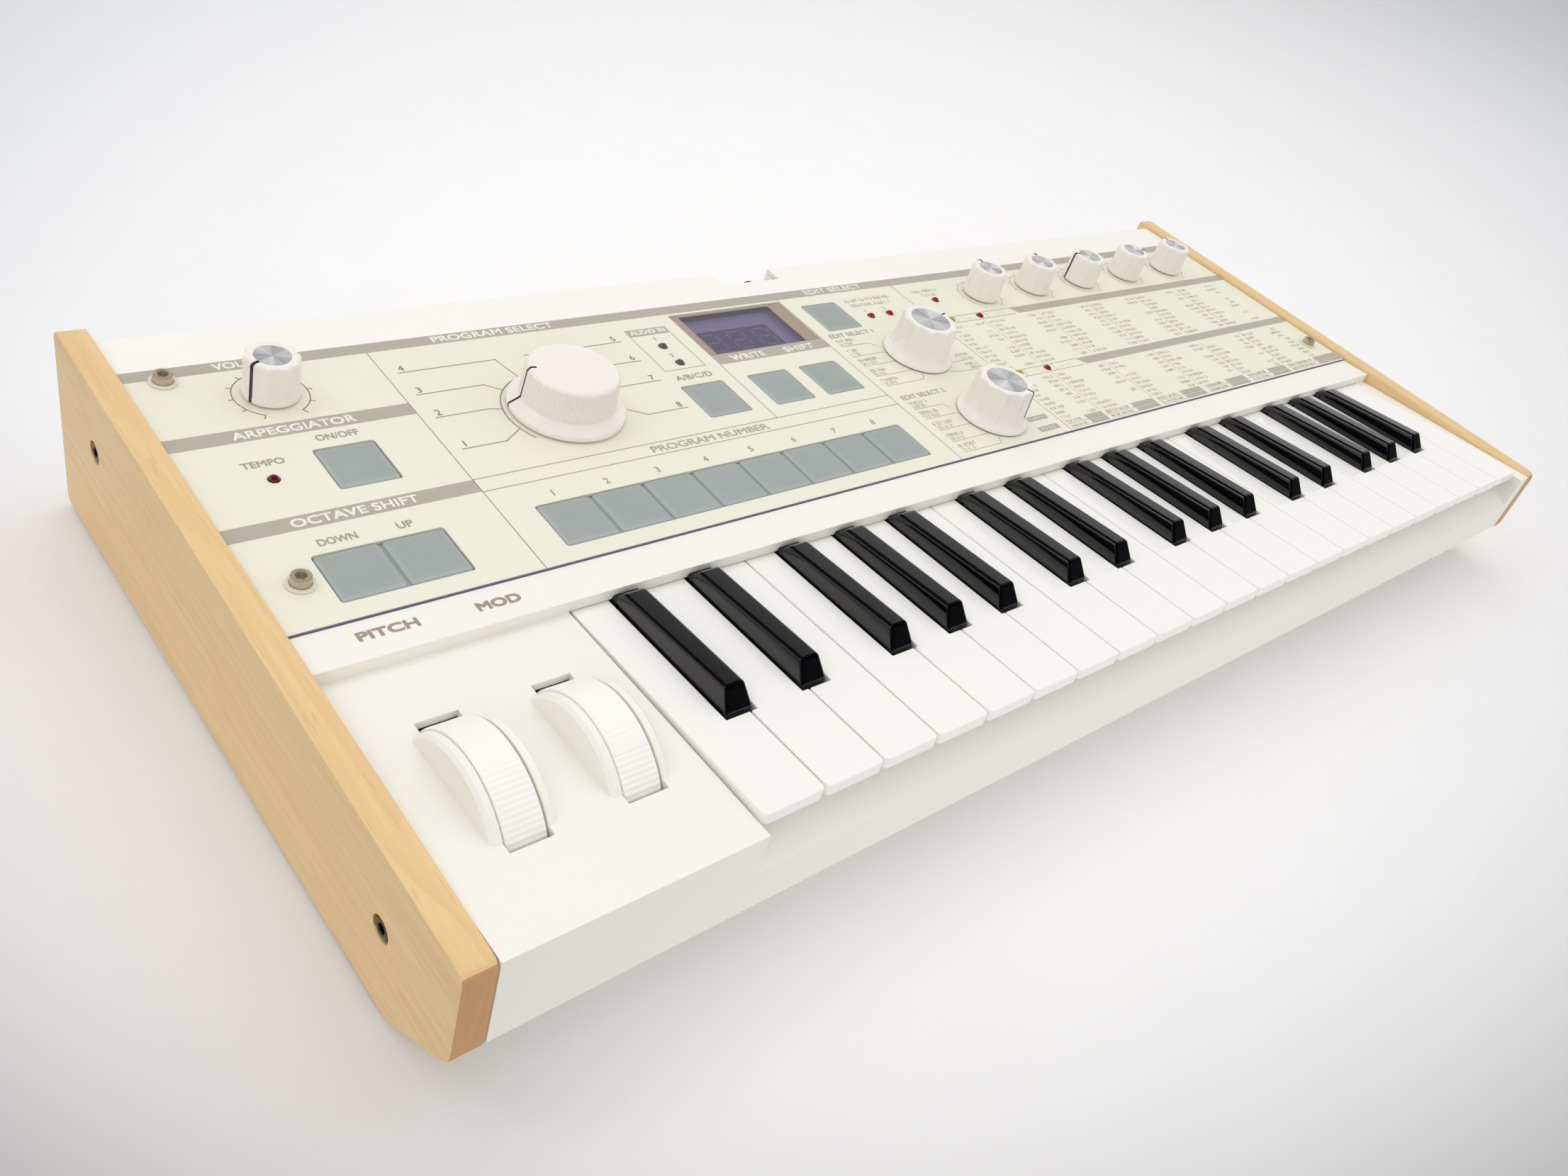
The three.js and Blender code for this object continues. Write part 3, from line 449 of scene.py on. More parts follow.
CASE_WHITE = rgb(240, 239, 231)
KEY_WHITE = rgb(245, 244, 241)
MATERIALS = {
    "case": coating("case_plastic", CASE_WHITE, 0.42, mottle=0.015, relief=0.12),
    "bottom": case_bottom("case_bottom_plastic", CASE_WHITE, rgb(28, 28, 30), 1.78 * MM),
    "panel": coating("panel_paint", rgb(232, 231, 214), 0.4, mottle=0.015, grain=2600, relief=0.1),
    "rear": coating("rear_strip_paint", rgb(243, 242, 236), 0.4, mottle=0.012, grain=2600, relief=0.1),
    "wood": maple("maple", rgb(236, 206, 156), rgb(214, 174, 116), rgb(208, 158, 104)),
    # the second, paler colour is painted light on the cap bevels
    "cap": silicone("button_silicone", rgb(157, 165, 163), rgb(174, 181, 179)),
    "knob": coating("knob_plastic", rgb(240, 236, 228), 0.18, mottle=0.015, patch=80, relief=0.05),
    "wheel": coating("wheel_plastic", rgb(245, 243, 240), 0.4, mottle=0.015, patch=80, relief=0.06),
    "white": coating("white_key_plastic", KEY_WHITE, 0.12, mottle=0.01, relief=0.02, Coat_Weight=0.3),
    "black": coating("black_key_plastic", rgb(4, 4, 7), 0.07, mottle=0.1, relief=0.02, Coat_Weight=0.4),
    "board": circuit("circuit_board", rgb(30, 84, 48), rgb(58, 112, 62), rgb(24, 24, 26), 43 * MM, 85 * MM),
    "frame": coating("frame_plastic", rgb(38, 38, 42), 0.5, mottle=0.08, relief=0.3),
    "pane": tinted_pane("display_pane", rgb(233, 231, 242), rgb(196, 192, 212)),
    "margin": coating("display_margin", rgb(166, 149, 134), 0.3, mottle=0.04, relief=0.05),
    "backing": coating("display_backing", rgb(205, 200, 214), 0.4, mottle=0.05, relief=0.1),
    "module": coating("display_module", rgb(92, 86, 108), 0.35, mottle=0.06, relief=0.1),
    "digit": coating("display_segments", rgb(158, 150, 164), 0.3, mottle=0.05, relief=0.05),
    "taupe": coating("taupe_ink", rgb(178, 173, 160), 0.42, mottle=0.03, patch=90, grain=3000, relief=0.1),
    "white_ink": coating("white_ink", rgb(236, 235, 224), 0.42, mottle=0.02, patch=90, grain=3000),
    "label_ink": coating("label_ink", rgb(166, 162, 150), 0.45, mottle=0.04, patch=300, grain=3000),
    "pointer": coating("pointer_ink", rgb(22, 16, 52), 0.3, mottle=0.1, patch=200, relief=0.05),
    # the two colours are the bright and dark ends of the disc's painted highlights
    "disc": spun_metal("spun_aluminium", rgb(252, 252, 254), rgb(196, 196, 202), 0.3),
    "steel": coating("screw_steel", rgb(194, 180, 160), 0.26, mottle=0.08, patch=900, Metallic=0.45),
    "dark_steel": coating("blackened_steel", rgb(86, 70, 58), 0.35, mottle=0.12, patch=900, Metallic=1),
    "washer": coating("nylon_washer", rgb(226, 224, 205), 0.3, mottle=0.03),
    "black_plastic": coating("black_plastic", rgb(24, 24, 26), 0.45, mottle=0.1, relief=0.25),
    "nickel": coating("nickel", rgb(196, 192, 184), 0.22, mottle=0.04, patch=600, relief=0.1, Metallic=1),
    "red": lens("red_lens", rgb(150, 20, 16), 0.12),
    "dark_red": lens("dark_red_lens", rgb(92, 4, 34), 0.04),
    "green": lens("green_lens", rgb(160, 150, 24), 0.15),
    "smoke": lens("smoke_lens", rgb(92, 90, 84)),
}
PRINT_INKS = {
    "table_ink": (186, 178, 163),
    # blue-grey painted shade for the panel's front edge
    "edge_ink": (132, 129, 158),
    "grey_ink": (158, 155, 144),
    "dark_ink": (118, 106, 96),
    "brown_ink": (164, 148, 134),
}
for ink, shade in PRINT_INKS.items():
    MATERIALS[ink] = coating(ink, rgb(*shade), 0.45, mottle=0.05, patch=300, grain=3000)

# ---- CAD nodes as they are ----


def dress(node, material, edge, segments=2, angle=32):
    """Gives a CAD node its finish and rounds its edges with modifiers."""
    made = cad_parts[node]
    made.data.materials.clear()
    made.data.materials.append(MATERIALS[material])
    if "custom_normal" in made.data.attributes:
        made.data.attributes.remove(made.data.attributes["custom_normal"])
    made.data.shade_smooth()
    weld = made.modifiers.new("weld", "WELD")
    weld.merge_threshold = 0.002 * MM
    flat = made.modifiers.new("flat", "DECIMATE")
    flat.decimate_type = "DISSOLVE"
    flat.angle_limit = math.radians(0.6)
    soften(made, edge, segments, angle)


def soften(made, width, segments, angle):
    """Rounds every edge sharper than the angle."""
    bevel = made.modifiers.new("edge", "BEVEL")
    bevel.width = width * MM
    bevel.segments = segments
    bevel.limit_method = "ANGLE"
    bevel.angle_limit = math.radians(angle)
    bevel.use_clamp_overlap = True
    weighted = made.modifiers.new("shading", "WEIGHTED_NORMAL")
    weighted.keep_sharp = False


def dress_frame():
    for side in ("left", "right"):
        dress(side + "_cheek", "wood", 1.5, 4)
    dress("upper_case", "case", 0.45)
    dress("lower_case", "bottom", 0.5)
    dress("control_panel", "panel", 0.12)
    dress("main_board", "board", 0.15)
    dress("key_frame", "frame", 0.3)
    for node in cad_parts:
        if node.startswith("white_key"):
            dress(node, "white", 0.7, 3)


# ---- black keys and button caps ----

CROWN_LENGTH, CROWN_RISE, CROWN_BACK_RISE = 48.6, 5.9, 2.7
CROWN_FRONT_HALF, CROWN_BACK_HALF = 3.1, 3.6
CROWN_FRONT_LEAN, CROWN_BACK_LEAN = 4, 1.8
ARM_OVERLAP, ARM_DROP = 3, 0.1


def black_key(node):
    """A glossy key with generous rounding on the flat arm that carries it."""
    low, high = (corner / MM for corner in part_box(node))
    centre, half, front = (low.x + high.x) / 2, (high.x - low.x) / 2, low.y
    back, level = front + CROWN_LENGTH, high.z - CROWN_RISE
    base = [(centre - half, front), (centre + half, front), (centre + half, back), (centre - half, back)]
    top = [(centre + side * CROWN_FRONT_HALF, front + CROWN_FRONT_LEAN, high.z) for side in (-1, 1)]
    end, height = back - CROWN_BACK_LEAN, level + CROWN_BACK_RISE
    top += [(centre + side * CROWN_BACK_HALF, end, height) for side in (1, -1)]
    shell = Shell().loft([[(x, y, z) for x, y in base] for z in (low.z, level)] + [top], WORLD)
    shell.bar(centre - half, back - ARM_OVERLAP, centre + half, high.y, low.z, level - ARM_DROP, WORLD)
    made = shell.piece(node + "_body", "black", node, "black_key_plastic")
    soften(made, 1, 4, 30)
    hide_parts(node)


CAP_PROFILE = ((-4.3, 0), (-0.8, 0), (-0.45, 0.05), (-0.15, 0.2), (0.12, 0.5), (0.34, 0.95), (0.52, 1.55))
CAP_PROFILE += ((0.66, 2.3), (0.77, 3.2), (0.85, 4.3), (0.9, 5.8))
CAP_SETS = {
    "program_buttons": [(96.3 + 18.15 * i, 14.8) for i in range(8)],
    "octave_buttons": [(33.2, 14.9), (51.2, 14.9)],
    "arpeggiator_button": [(51.3, 54.8)],
    "function_buttons": [(175.1, 54.4), (203.6, 54.4), (227.4, 54.4), (257.7, 89.3)],
}
CAP_HALF_X, CAP_HALF_S = 8.5, 8.6
MAT_HALF_X, MAT_HALF_S = CAP_HALF_X + 1.2, CAP_HALF_S + 1.2
MAT_LOW, MAT_HIGH = -5.2, -4.2
SHEET_HALF_S, SHEET_LOW, SHEET_HIGH = 8.2, -1.3, -0.8


def button_caps(node, places):
    """Pillow-shaped caps on one thin mat; neighbours in a row are joined by a sheet of the same rubber."""
    shell = Shell()
    for x, s in places:
        rings = []
        for z, d in CAP_PROFILE:
            half_x, half_s = CAP_HALF_X - d, CAP_HALF_S - d
            corner = min(0.9 + 0.4 * d, 0.85 * half_x)
            rings += rounded_rings(x - half_x, s - half_s, x + half_x, s + half_s, corner, [(z, 0)])
        shell.loft(rings, PANEL)
        shell.bar(x - MAT_HALF_X, s - MAT_HALF_S, x + MAT_HALF_X, s + MAT_HALF_S, MAT_LOW, MAT_HIGH)
    (first_x, row), (last_x, _) = places[0], places[-1]
    if node in ("program_buttons", "octave_buttons"):
        shell.bar(first_x, row - SHEET_HALF_S, last_x, row + SHEET_HALF_S, SHEET_LOW, SHEET_HIGH)
    if node == "function_buttons":
        shell.bar(first_x, 58, 229, 62, -5.15, -4.25)
        shell.bar(225, 60, 261.7, 64, -5.15, -4.25)
        shell.bar(253.7, 60, 261.7, 85, -5.1, -4.3)
    made = shell.piece(node + "_caps", "cap", node, "button_silicone", 50)
    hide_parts(node)


def keys_and_caps():
    for node in sorted(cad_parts):
        if node.startswith("black_key"):
            black_key(node)
    for node, places in CAP_SETS.items():
        button_caps(node, places)


# ---- knobs ----

FLUTES = 10
FLUTE_PHASE = math.radians(18)
BORE = [(3.3, 10, 0), (3.3, 0.5, 0)]


def fluted(depth, width, foot):
    """Radius lost to the flutes at an angle and height; they start with a step at their foot."""
    step = 0.25

    def lost(angle, z):
        turn = (angle - FLUTE_PHASE) * FLUTES / TAU
        across = abs(turn - round(turn)) * 2 / width
        return depth * max(0, 1 - across * across) * smoothstep(z, foot, foot + step)

    return lost


def between(table, z):
    """The value at z in a table of (z, value), in straight steps."""
    for (z0, v0), (z1, v1) in zip(table, table[1:]):
        if z <= z1:
            return v0 + (v1 - v0) * (z - z0) / (z1 - z0)
    return 0.0


def knob_rings(profile, lost, count, skirt=((0, 0), (1, 0))):
    """Rings from a profile of (radius, z, share of the flute depth), never inside the skirt."""
    rings = []
    for radius, z, share in profile:
        least = between(skirt, z)
        rings.append(circle(radius, z, count, lambda a: max(least, radius - share * lost(a, z))))
    return rings


def pointer(name, path, width, place):
    """A painted line that follows the knob's surface along a path of (radius, z)."""
    rings = []
    for i, (r, z) in enumerate(path):
        before, after = path[max(i - 1, 0)], path[min(i + 1, len(path) - 1)]
        run, rise = after[0] - before[0], after[1] - before[1]
        size = math.hypot(run, rise)
        normal = (-rise / size, run / size)
        if normal[0] < 0 and normal[1] < 0.5:
            normal = (-normal[0], -normal[1])
        if normal[1] < -0.5:
            normal = (-normal[0], -normal[1])
        sides = ((-1, -0.3), (1, -0.3), (1, 0.06), (-1, 0.06))
        rings.append([(r + normal[0] * out, side * width / 2, z + normal[1] * out) for side, out in sides])
    Shell().loft(rings, place).piece(name + "_pointer", "pointer", name)


def disc(name, radius, low, high, place):
    """A turned aluminium disc; its own origin is at its centre, where the radial brushing starts."""
    profile = [(radius - 0.1, low), (radius, low + 0.1), (radius, high - 0.12), (radius - 0.12, high)]
    profile += [(0.6, high), (0.3, high - 0.02)]
    made = Shell().loft(turned(profile, 64), WORLD).piece(name + "_disc", "disc", name)
    made.matrix_world = place @ Matrix.Scale(1 / MM, 4)


def knob_place(name, angle):
    """A knob's frame on the panel, turned to where its pointer looks, in degrees."""
    return on_panel(*panel_place(name)) @ Matrix.Rotation(math.radians(angle), 4, "Z")


def knob_body(name, rings, place):
    made = Shell().loft(rings, place).piece(name + "_body", "knob", name, "knob_plastic", 38)
    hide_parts(name)


def small_knob(name, angle):
    place = knob_place(name, angle)
    radius, top = 7.75, 12.8
    lost = fluted(0.62, 0.86, 2.3)
    profile = BORE + [(7.3, 0.5, 0), (7.62, 0.62, 0), (radius, 0.95, 0), (radius, 1.8, 0)]
    levels = [2.25, 2.3, 2.36, 2.42, 2.48, 2.55, 4.5, 7, 9.5, 11.4]
    profile += [(radius - 0.015 * z, z, 1) for z in levels]
    profile += [(7.56, 12.1, 1), (7.42, 12.45, 1), (7.12, 12.7, 0.85), (6.7, top, 0.5), (6.1, top, 0.1)]
    profile += [(5.15, top, 0), (5, 12.72, 0), (4.97, 12.4, 0)]
    knob_body(name, knob_rings(profile, lost, 200), place)
    disc(name, 4.92, 12.3, 12.66, place)
    path = [(5.1, top), (6.3, top), (7, top), (7.45, 12.5), (7.58, 12), (7.62, 9), (7.7, 5)]
    pointer(name, path + [(7.75, 1), (7.7, 0.65)], 0.95, place)


SKIRT = ((0.9, 13.4), (1.3, 13.3), (1.7, 12.95), (2.2, 12.4), (2.8, 11.85), (3.6, 11.35))
SKIRT += ((5, 10.8), (7, 10.2))


def select_knob(name, angle):
    """A scalloped knob whose conical skirt runs up into each scallop as an arch."""
    place = knob_place(name, angle)
    top, foot, head, levels = 15.3, 1.2, 13.6, 32
    lost = fluted(1.15, 0.96, 0)
    profile = BORE + [(12.9, 0.5, 0), (13.3, 0.65, 0), (13.4, 0.95, 0)]
    for i in range(levels + 1):
        z = foot + (head - foot) * (i / levels) ** 1.35
        profile.append((11.5 - 0.055 * (z - foot), z, 1))
    profile += [(10.8, 14.5, 1), (10.66, 14.95, 0.95), (10.35, 15.22, 0.85), (9.9, top, 0.6)]
    profile += [(9, top, 0.15), (7.8, top, 0), (7.65, 15.2, 0), (7.62, 14.9, 0)]
    knob_body(name, knob_rings(profile, lost, 240, SKIRT), place)
    disc(name, 7.55, 14.8, 15.16, place)
    path = [(7.8, top), (9.6, top), (10.2, 15.25), (10.6, 15), (10.78, 14.5), (10.93, 11.5)]
    pointer(name, path + [(11.15, 7.5), (11.3, 5)], 0.7, place)


def dial(name, angle):
    place = knob_place(name, angle)
    ribs, depth, top = 110, 0.3, 14.8

    def lost(a, z):
        return depth * (0.5 + 0.5 * math.cos(a * ribs)) * smoothstep(z, 4.3, 4.7)

    profile = BORE + [(17.8, 0.5, 0), (18.1, 0.62, 0), (18.2, 0.9, 0), (18.2, 2, 0), (18.05, 2.3, 0)]
    profile += [(17.7, 2.5, 0), (15.5, 4.05, 0), (15, 4.45, 0.2), (14.9, 4.8, 1), (14.75, 7, 1)]
    profile += [(14.5, 10, 1), (14.28, 13.4, 1), (14.2, 13.7, 0.6), (14.05, 13.95, 0), (13.7, 14.4, 0)]
    profile += [(13.35, 14.7, 0), (12.9, top, 0), (8, top, 0), (4, top, 0)]
    knob_body(name, knob_rings(profile, lost, ribs * 6), place)
    path = [(11.6, top), (12.9, top), (13.35, 14.7), (13.7, 14.4), (14.15, 13.85), (14.28, 13.4), (14.5, 10)]
    path += [(14.75, 7), (14.95, 4.7), (15.6, 4), (17.7, 2.5), (18.1, 2.25), (18.2, 1.9), (18.2, 0.8)]
    pointer(name, path, 0.75, place)


def make_knobs():
    small_knob("volume_knob", 204)
    for i, angle in enumerate((90, 72, 155, -10, 90)):
        small_knob("edit_knob_%d" % (i + 1), angle)
    select_knob("edit_select_knob_1", 12)
    select_knob("edit_select_knob_2", -64)
    dial("program_dial", 165.5)


# ---- performance wheels ----


def wheel(name, depth_at):
    """A ribbed wheel on the X axis; depth_at gives the rib depth at degrees forward of the top."""
    radius, half, shoulder = 22.4, 5.05, 21.9
    ribs, count = 100, 800

    def rim(angle, share):
        forward = math.degrees(angle) % 360
        forward = forward - 360 if forward > 180 else forward
        return radius - share * depth_at(forward) * (0.5 + 0.5 * math.cos(math.radians(forward) * ribs))

    profile = [(3.3, half, 0), (6, half, 0), (6, 2.3, 0), (13, 2.3, 0), (13, half, 0)]
    profile += [(shoulder, half, 0), (22.15, 4.95, 0.2), (22.3, 4.8, 0.6), (22.38, 4.5, 0.9)]
    profile += [(radius, 4.2, 1)]
    full = [(r, -x, k) for r, x, k in profile] + [(r, x, k) for r, x, k in reversed(profile)]
    rings = []
    for r, x, share in full:
        ring = []
        for i in range(count):
            a = TAU * i / count
            here = rim(a, share) - (radius - r) if r > shoulder else r
            ring.append((x, -here * math.sin(a), here * math.cos(a)))
        rings.append(ring)
    place = Matrix.Translation(node_centre(name)) @ WORLD
    shell = Shell().loft(rings, place, wrap=True)
    made = shell.piece(name + "_body", "wheel", name, "knob_plastic", 40)
    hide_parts(name)


def pitch_ribs(forward):
    return 0.13 if forward > -12 else 0.0


def mod_ribs(forward):
    if forward < -8 or 22 < forward < 32:
        return 0.0
    return 0.09 if forward < 22 else 0.15


# ---- printing on the panel ----

# one of these is painted shade on the panel's front edge, the rest are print
INK_NAMES = "taupe rear white_ink label_ink table_ink edge_ink grey_ink dark_ink brown_ink".split()
inks = {name: Shell() for name in INK_NAMES}
PANEL_LEFT, PANEL_RIGHT = 8.4, 515.6


def bands():
    """The taupe bands that head each group of controls."""
    taupe = inks["taupe"]
    for x0, s0, x1, s1 in (
        (PANEL_LEFT, 104.1, PANEL_RIGHT, 108.8),
        (PANEL_LEFT, 71.8, 77.3, 77.2),
        (PANEL_LEFT, 34, 77.3, 39.3),
        (189.4, 71.4, 241.8, 76.4),
        (166.7, 93.5, 183.7, 97.5),
    ):
        taupe.mark(x0, s0, x1, s1)
    for s0, s1 in ((73.3, 77.7), (33.9, 38.3)):
        outline = [(351, s1), (353.6, s0), (PANEL_RIGHT, s0), (PANEL_RIGHT, s1)]
        taupe.prism(outline, 0, HAIR)
        inks["grey_ink"].stroke([(303.8, s0), (351.4, s0)], 0.25)
        inks["grey_ink"].stroke([(303.8, s1), (351.4, s1)], 0.25)


def rear_strip():
    """The white strip behind the top band, cut round the microphone notch."""
    parts = ((PANEL_LEFT, 226, PANEL_LENGTH), (226, 254, 118), (254, PANEL_RIGHT, PANEL_LENGTH))
    for x0, x1, s1 in parts:
        inks["rear"].mark(x0, 108.8, x1, s1 - 0.15)


def thin_lines():
    grey = inks["grey_ink"]
    for x, s0, s1 in ((77.3, 0.3, 104.1), (189.4, 39.3, 71.4), (241.8, 0.3, 104.1), (303.8, 0.3, 104.1)):
        grey.stroke([(x, s0), (x, s1)], 0.28)
    for s in (39.3, 33.7):
        grey.stroke([(77.3, s), (241.8, s)], 0.28)
    for x in (329.3, 364.3, 399.6, 435, 470):
        grey.stroke([(x, 40.5), (x, 72.5)], 0.16)
        grey.stroke([(x, 7), (x, 33)], 0.16)
    grey.stroke([(166.8, 93.5), (166.8, 72.5), (183.7, 72.5), (183.7, 93.5)], 0.25)
    # painted shade: a blue-grey band over the panel sheet's front edge, for the gap between panel and strip
    inks["edge_ink"].bar(PANEL_LEFT, -0.04, PANEL_RIGHT, 0.05, -1.4, HAIR)


dice = random.Random(7)


def word(shell, x, s, length, height, lift=HAIR):
    """Unreadable small print: strokes that have the rhythm of letters and say nothing."""
    at, end = x, x + length
    step = height * 0.68
    line = height * 0.12
    while at + step * 0.6 < end:
        wide = min(step * dice.uniform(0.5, 0.66), end - at)
        shell.bar(at, s, at + line, s + height, 0, lift)
        level = s + dice.choice((0, 0.42, 0.83)) * height
        shell.bar(at, level, at + wide, level + line, 0, lift)
        if dice.random() < 0.55:
            shell.bar(at + wide - line, s, at + wide, s + height * dice.choice((0.5, 1)), 0, lift)
        at += step * dice.choice((0.9, 0.9, 0.9, 0.9, 1.5))


def bottom_cells():
    """Two rows of small framed cells along the front of the parameter table."""
    cells = ((305, 328.6), (330.3, 363.3), (365.5, 398), (400.5, 433), (435.5, 468), (470, 515))
    for x0, x1 in cells:
        for s0, s1, ink in ((3.6, 6.2, "grey_ink"), (1, 3.2, "taupe")):
            middle = x0 + (x1 - x0) * 0.55
            inks[ink].stroke([(x0, s0), (x1, s0)], 0.2)
            inks["taupe"].mark(middle, s0, x1, s1)
            word(inks["grey_ink"], x0 + 0.8, s0 + 0.6, middle - x0 - 3.5, s1 - s0 - 1)
    for s0, s1 in ((9.4, 11.9), (3, 5.7)):
        inks["taupe"].mark(289, s0, 300.2, s1)
        word(inks["white_ink"], 290.2, s0 + 0.6, 8.6, s1 - s0 - 1.2, HAIR * 1.6)


def parameter_table():
    """Rows of small print under the two right-hand bands."""
    lefts = (306, 331, 366, 400.7, 435.7, 470.3)
    rights = (327.9, 362.9, 398, 433.1, 467.9, 500)
    height = 1.55
    for first, rows, step in ((71.1, 11, 2.96), (31.7, 9, 2.9)):
        for row in range(rows):
            s = first - row * step - height
            for left, right in zip(lefts, rights):
                if dice.random() < 0.94:
                    length = dice.uniform(5.5, 11.5) * (0.7 if right - left < 25 else 1)
                    word(inks["table_ink"], left, s, length, height)
                if dice.random() < 0.82:
                    length = dice.uniform(4, 8.5) * (0.8 if right - left < 25 else 1)
                    word(inks["table_ink"], right - length, s, length, height)
    for s, x0s in ((75.5, (317.2, 336)), (36.1, (317.2, 336))):
        for x0 in x0s:
            word(inks["white_ink"], x0, s - 1, 11, 1.9)
            inks["grey_ink"].stroke([(x0 - 1.6, s - 2.2), (x0 - 1.6, s + 2.2)], 0.2)


def scale_marks(x, s, radius, ink, width, reach=1.4):
    """The arc and ticks printed round a knob."""
    start, end, ticks = 240, -60, 11
    shell = inks[ink]
    shell.stroke(arc(x, s, radius, start, end, 40), width)
    for i in range(ticks):
        a = math.radians(start + (end - start) * i / (ticks - 1))
        far = radius + reach * (1.25 if i in (0, ticks - 1) else 1)
        ends = [(x + r * math.cos(a), s + r * math.sin(a)) for r in (radius, far)]
        shell.stroke(ends, width)


def dial_leaders():
    """The ring beside the program dial, its leader lines and the numbers they point to."""
    grey = inks["grey_ink"]
    grey.stroke(arc(121.7, 62.3, 19.7, 100, 212, 30), 0.45)
    left, right = 82.4, 159.0
    for number, x, line in (
        (4, left, [(81.5, 92), (114, 92), (116.3, 81.5)]),
        (3, left, [(81.5, 80.3), (103.5, 80.3), (107.8, 76.3)]),
        (2, left, [(81.5, 68.5), (98.8, 68.5), (102.3, 67.5)]),
        (1, left, [(81.5, 52.8), (95.7, 52.8), (102.7, 57.2)]),
        (5, right, [(124.5, 92), (162, 92)]),
        (6, right, [(136, 80.3), (162, 80.3)]),
        (7, right, [(141, 68.5), (162, 68.5)]),
        (8, right, [(141, 57), (146.2, 52.8), (162, 52.8)]),
    ):
        grey.stroke(line, 0.4)
        level = (line[0] if x == left else line[-1])[1]
        lettering(inks["dark_ink"], str(number), x, level + 0.9, x + 1.8, level + 3.5)


def select_labels():
    """Small print and leader lines round the two edit select knobs."""
    knobs = (
        ("EDIT SELECT 1", 75.8, 58.2, (70, 63.3, 57, 50.2, 44)),
        ("EDIT SELECT 2", 34.9, 17.3, (28.9, 22.9, 16, 9.1, 2.9)),
    )
    for title, top, centre, rows in knobs:
        lettering(inks["label_ink"], title, 246, top, 268.5, top + 2.3, 0.02)
        for i, s in enumerate(rows):
            end = 262.5 - 1.2 * abs(i - 2) + (5.5 if i > 2 else 0)
            inks["grey_ink"].stroke([(246, s), (end, s)], 0.2)
            slope = (centre - s) * 0.22
            inks["grey_ink"].stroke([(end, s), (end + 2, s + slope)], 0.2)
            length = dice.uniform(6, 11)
            word(inks["label_ink"], 246.4, s + 2.75, length, 1.7)
            word(inks["table_ink"], 246.4, s + 0.55, length * 0.8, 1.7)
    for s in (50.2, 44):
        inks["grey_ink"].stroke([(286.0 - (50.2 - s) * 0.8, s + 1.2), (288.5, s), (300.2, s)], 0.2)
        word(inks["label_ink"], 292.6, s + 2.6, 7, 1.8)
        word(inks["table_ink"], 293.6, s + 0.5, 6, 1.6)


def labels():
    """Plain control words and numbers."""
    for text, x0, s0, x1, s1 in (
        ("VOLUME", 33, 105, 50, 107.9),
        ("PROGRAM SELECT", 99.7, 105, 143.5, 107.9),
        ("EDIT SELECT", 257.5, 105, 288.1, 107.9),
        ("ARPEGGIATOR", 25.7, 72.9, 59.7, 75.9),
        ("OCTAVE SHIFT", 25.2, 35.1, 59.5, 38.1),
        ("WRITE", 196.2, 72.3, 211.2, 75.3),
        ("SHIFT", 220.7, 72.3, 234.7, 75.3),
        ("AUDIO IN", 168, 94.4, 182.4, 96.7),
    ):
        lettering(inks["white_ink"], text, x0, s0, x1, s1, 0.11, height=2 * HAIR)
    for text, x0, s0, x1, s1 in (
        ("ON/OFF", 45.7, 67, 57.7, 69.5),
        ("TEMPO", 23, 60.5, 34.2, 63),
        ("DOWN", 28.2, 26.6, 38.3, 29.1),
        ("UP", 49.2, 26.6, 53.5, 29.1),
        ("A/B/C/D", 167.8, 66.5, 182.8, 69.1),
        ("1", 174.9, 90, 175.6, 91.8),
        ("2", 174.6, 79.8, 175.8, 81.6),
    ):
        lettering(inks["label_ink"], text, x0, s0, x1, s1, 0.06)
    lettering(inks["taupe"], "PROGRAM NUMBER", 136.3, 35, 182.8, 37.8, 0.07)
    for i in range(8):
        x = 95.8 + 18.2 * i
        lettering(inks["label_ink"], str(i + 1), x, 26.3, x, 28.7, 0.05)
    strip = on_strip()
    lettering(inks["brown_ink"], "PITCH", -239.3, -24.1, -224.1, -21.2, 0.17, strip)
    lettering(inks["brown_ink"], "MOD", -208.6, -25, -196.8, -22.1, 0.17, strip)


def on_strip():
    """The flat strip in front of the panel, in plain millimetres."""
    return WORLD @ Matrix.Translation((0, 0, STRIP_TOP))


def small_titles():
    """Two lines of small print beside the upper LEDs."""
    word(inks["label_ink"], 271.6, 96.4, 25.5, 2.1)
    word(inks["table_ink"], 272.6, 92.9, 22, 2.1)
    word(inks["table_ink"], 310.6, 96.6, 14.4, 1.9)
    word(inks["table_ink"], 313.8, 93.6, 9.2, 1.9)
    for i in range(2):
        lettering(inks["grey_ink"], str(i + 1), 276.0 + 10.3 * i, 89, 276.9 + 10.3 * i, 90.8)


def print_panel():
    bands()
    rear_strip()
    thin_lines()
    bottom_cells()
    parameter_table()
    scale_marks(42.8, 90.5, 10.3, "dark_ink", 0.25)
    for i in range(5):
        x, s = panel_place("edit_knob_%d" % (i + 1))
        scale_marks(x, s, 10, "grey_ink", 0.16, reach=1.1)
    dial_leaders()
    select_labels()
    labels()
    for name, shell in inks.items():
        shell.piece("printed_" + name, name)


# ---- display ----

SEGMENTS = ((0.5, 1, 0), (1, 0.75, 1), (1, 0.25, 1), (0.5, 0, 0), (0, 0.25, 1), (0, 0.75, 1))
SEGMENTS += ((0.5, 0.5, 0),)


def digit(shell, x, s, width, height, z):
    """Seven bars of a numeric display, all unlit."""
    half = 0.95 / 2
    for across, up, upright in SEGMENTS:
        cx, cy = x + (across - 0.5) * width, s + (up - 0.5) * height
        end = (height / 2 if upright else width) / 2 - 0.55
        tip = [(-end, 0), (-end + half, -half), (end - half, -half)]
        tip += [(end, 0), (end - half, half), (-end + half, half)]
        outline = [(cx - b, cy + a) if upright else (cx + a, cy + b) for a, b in tip]
        shell.prism(outline, z, z + 0.1)


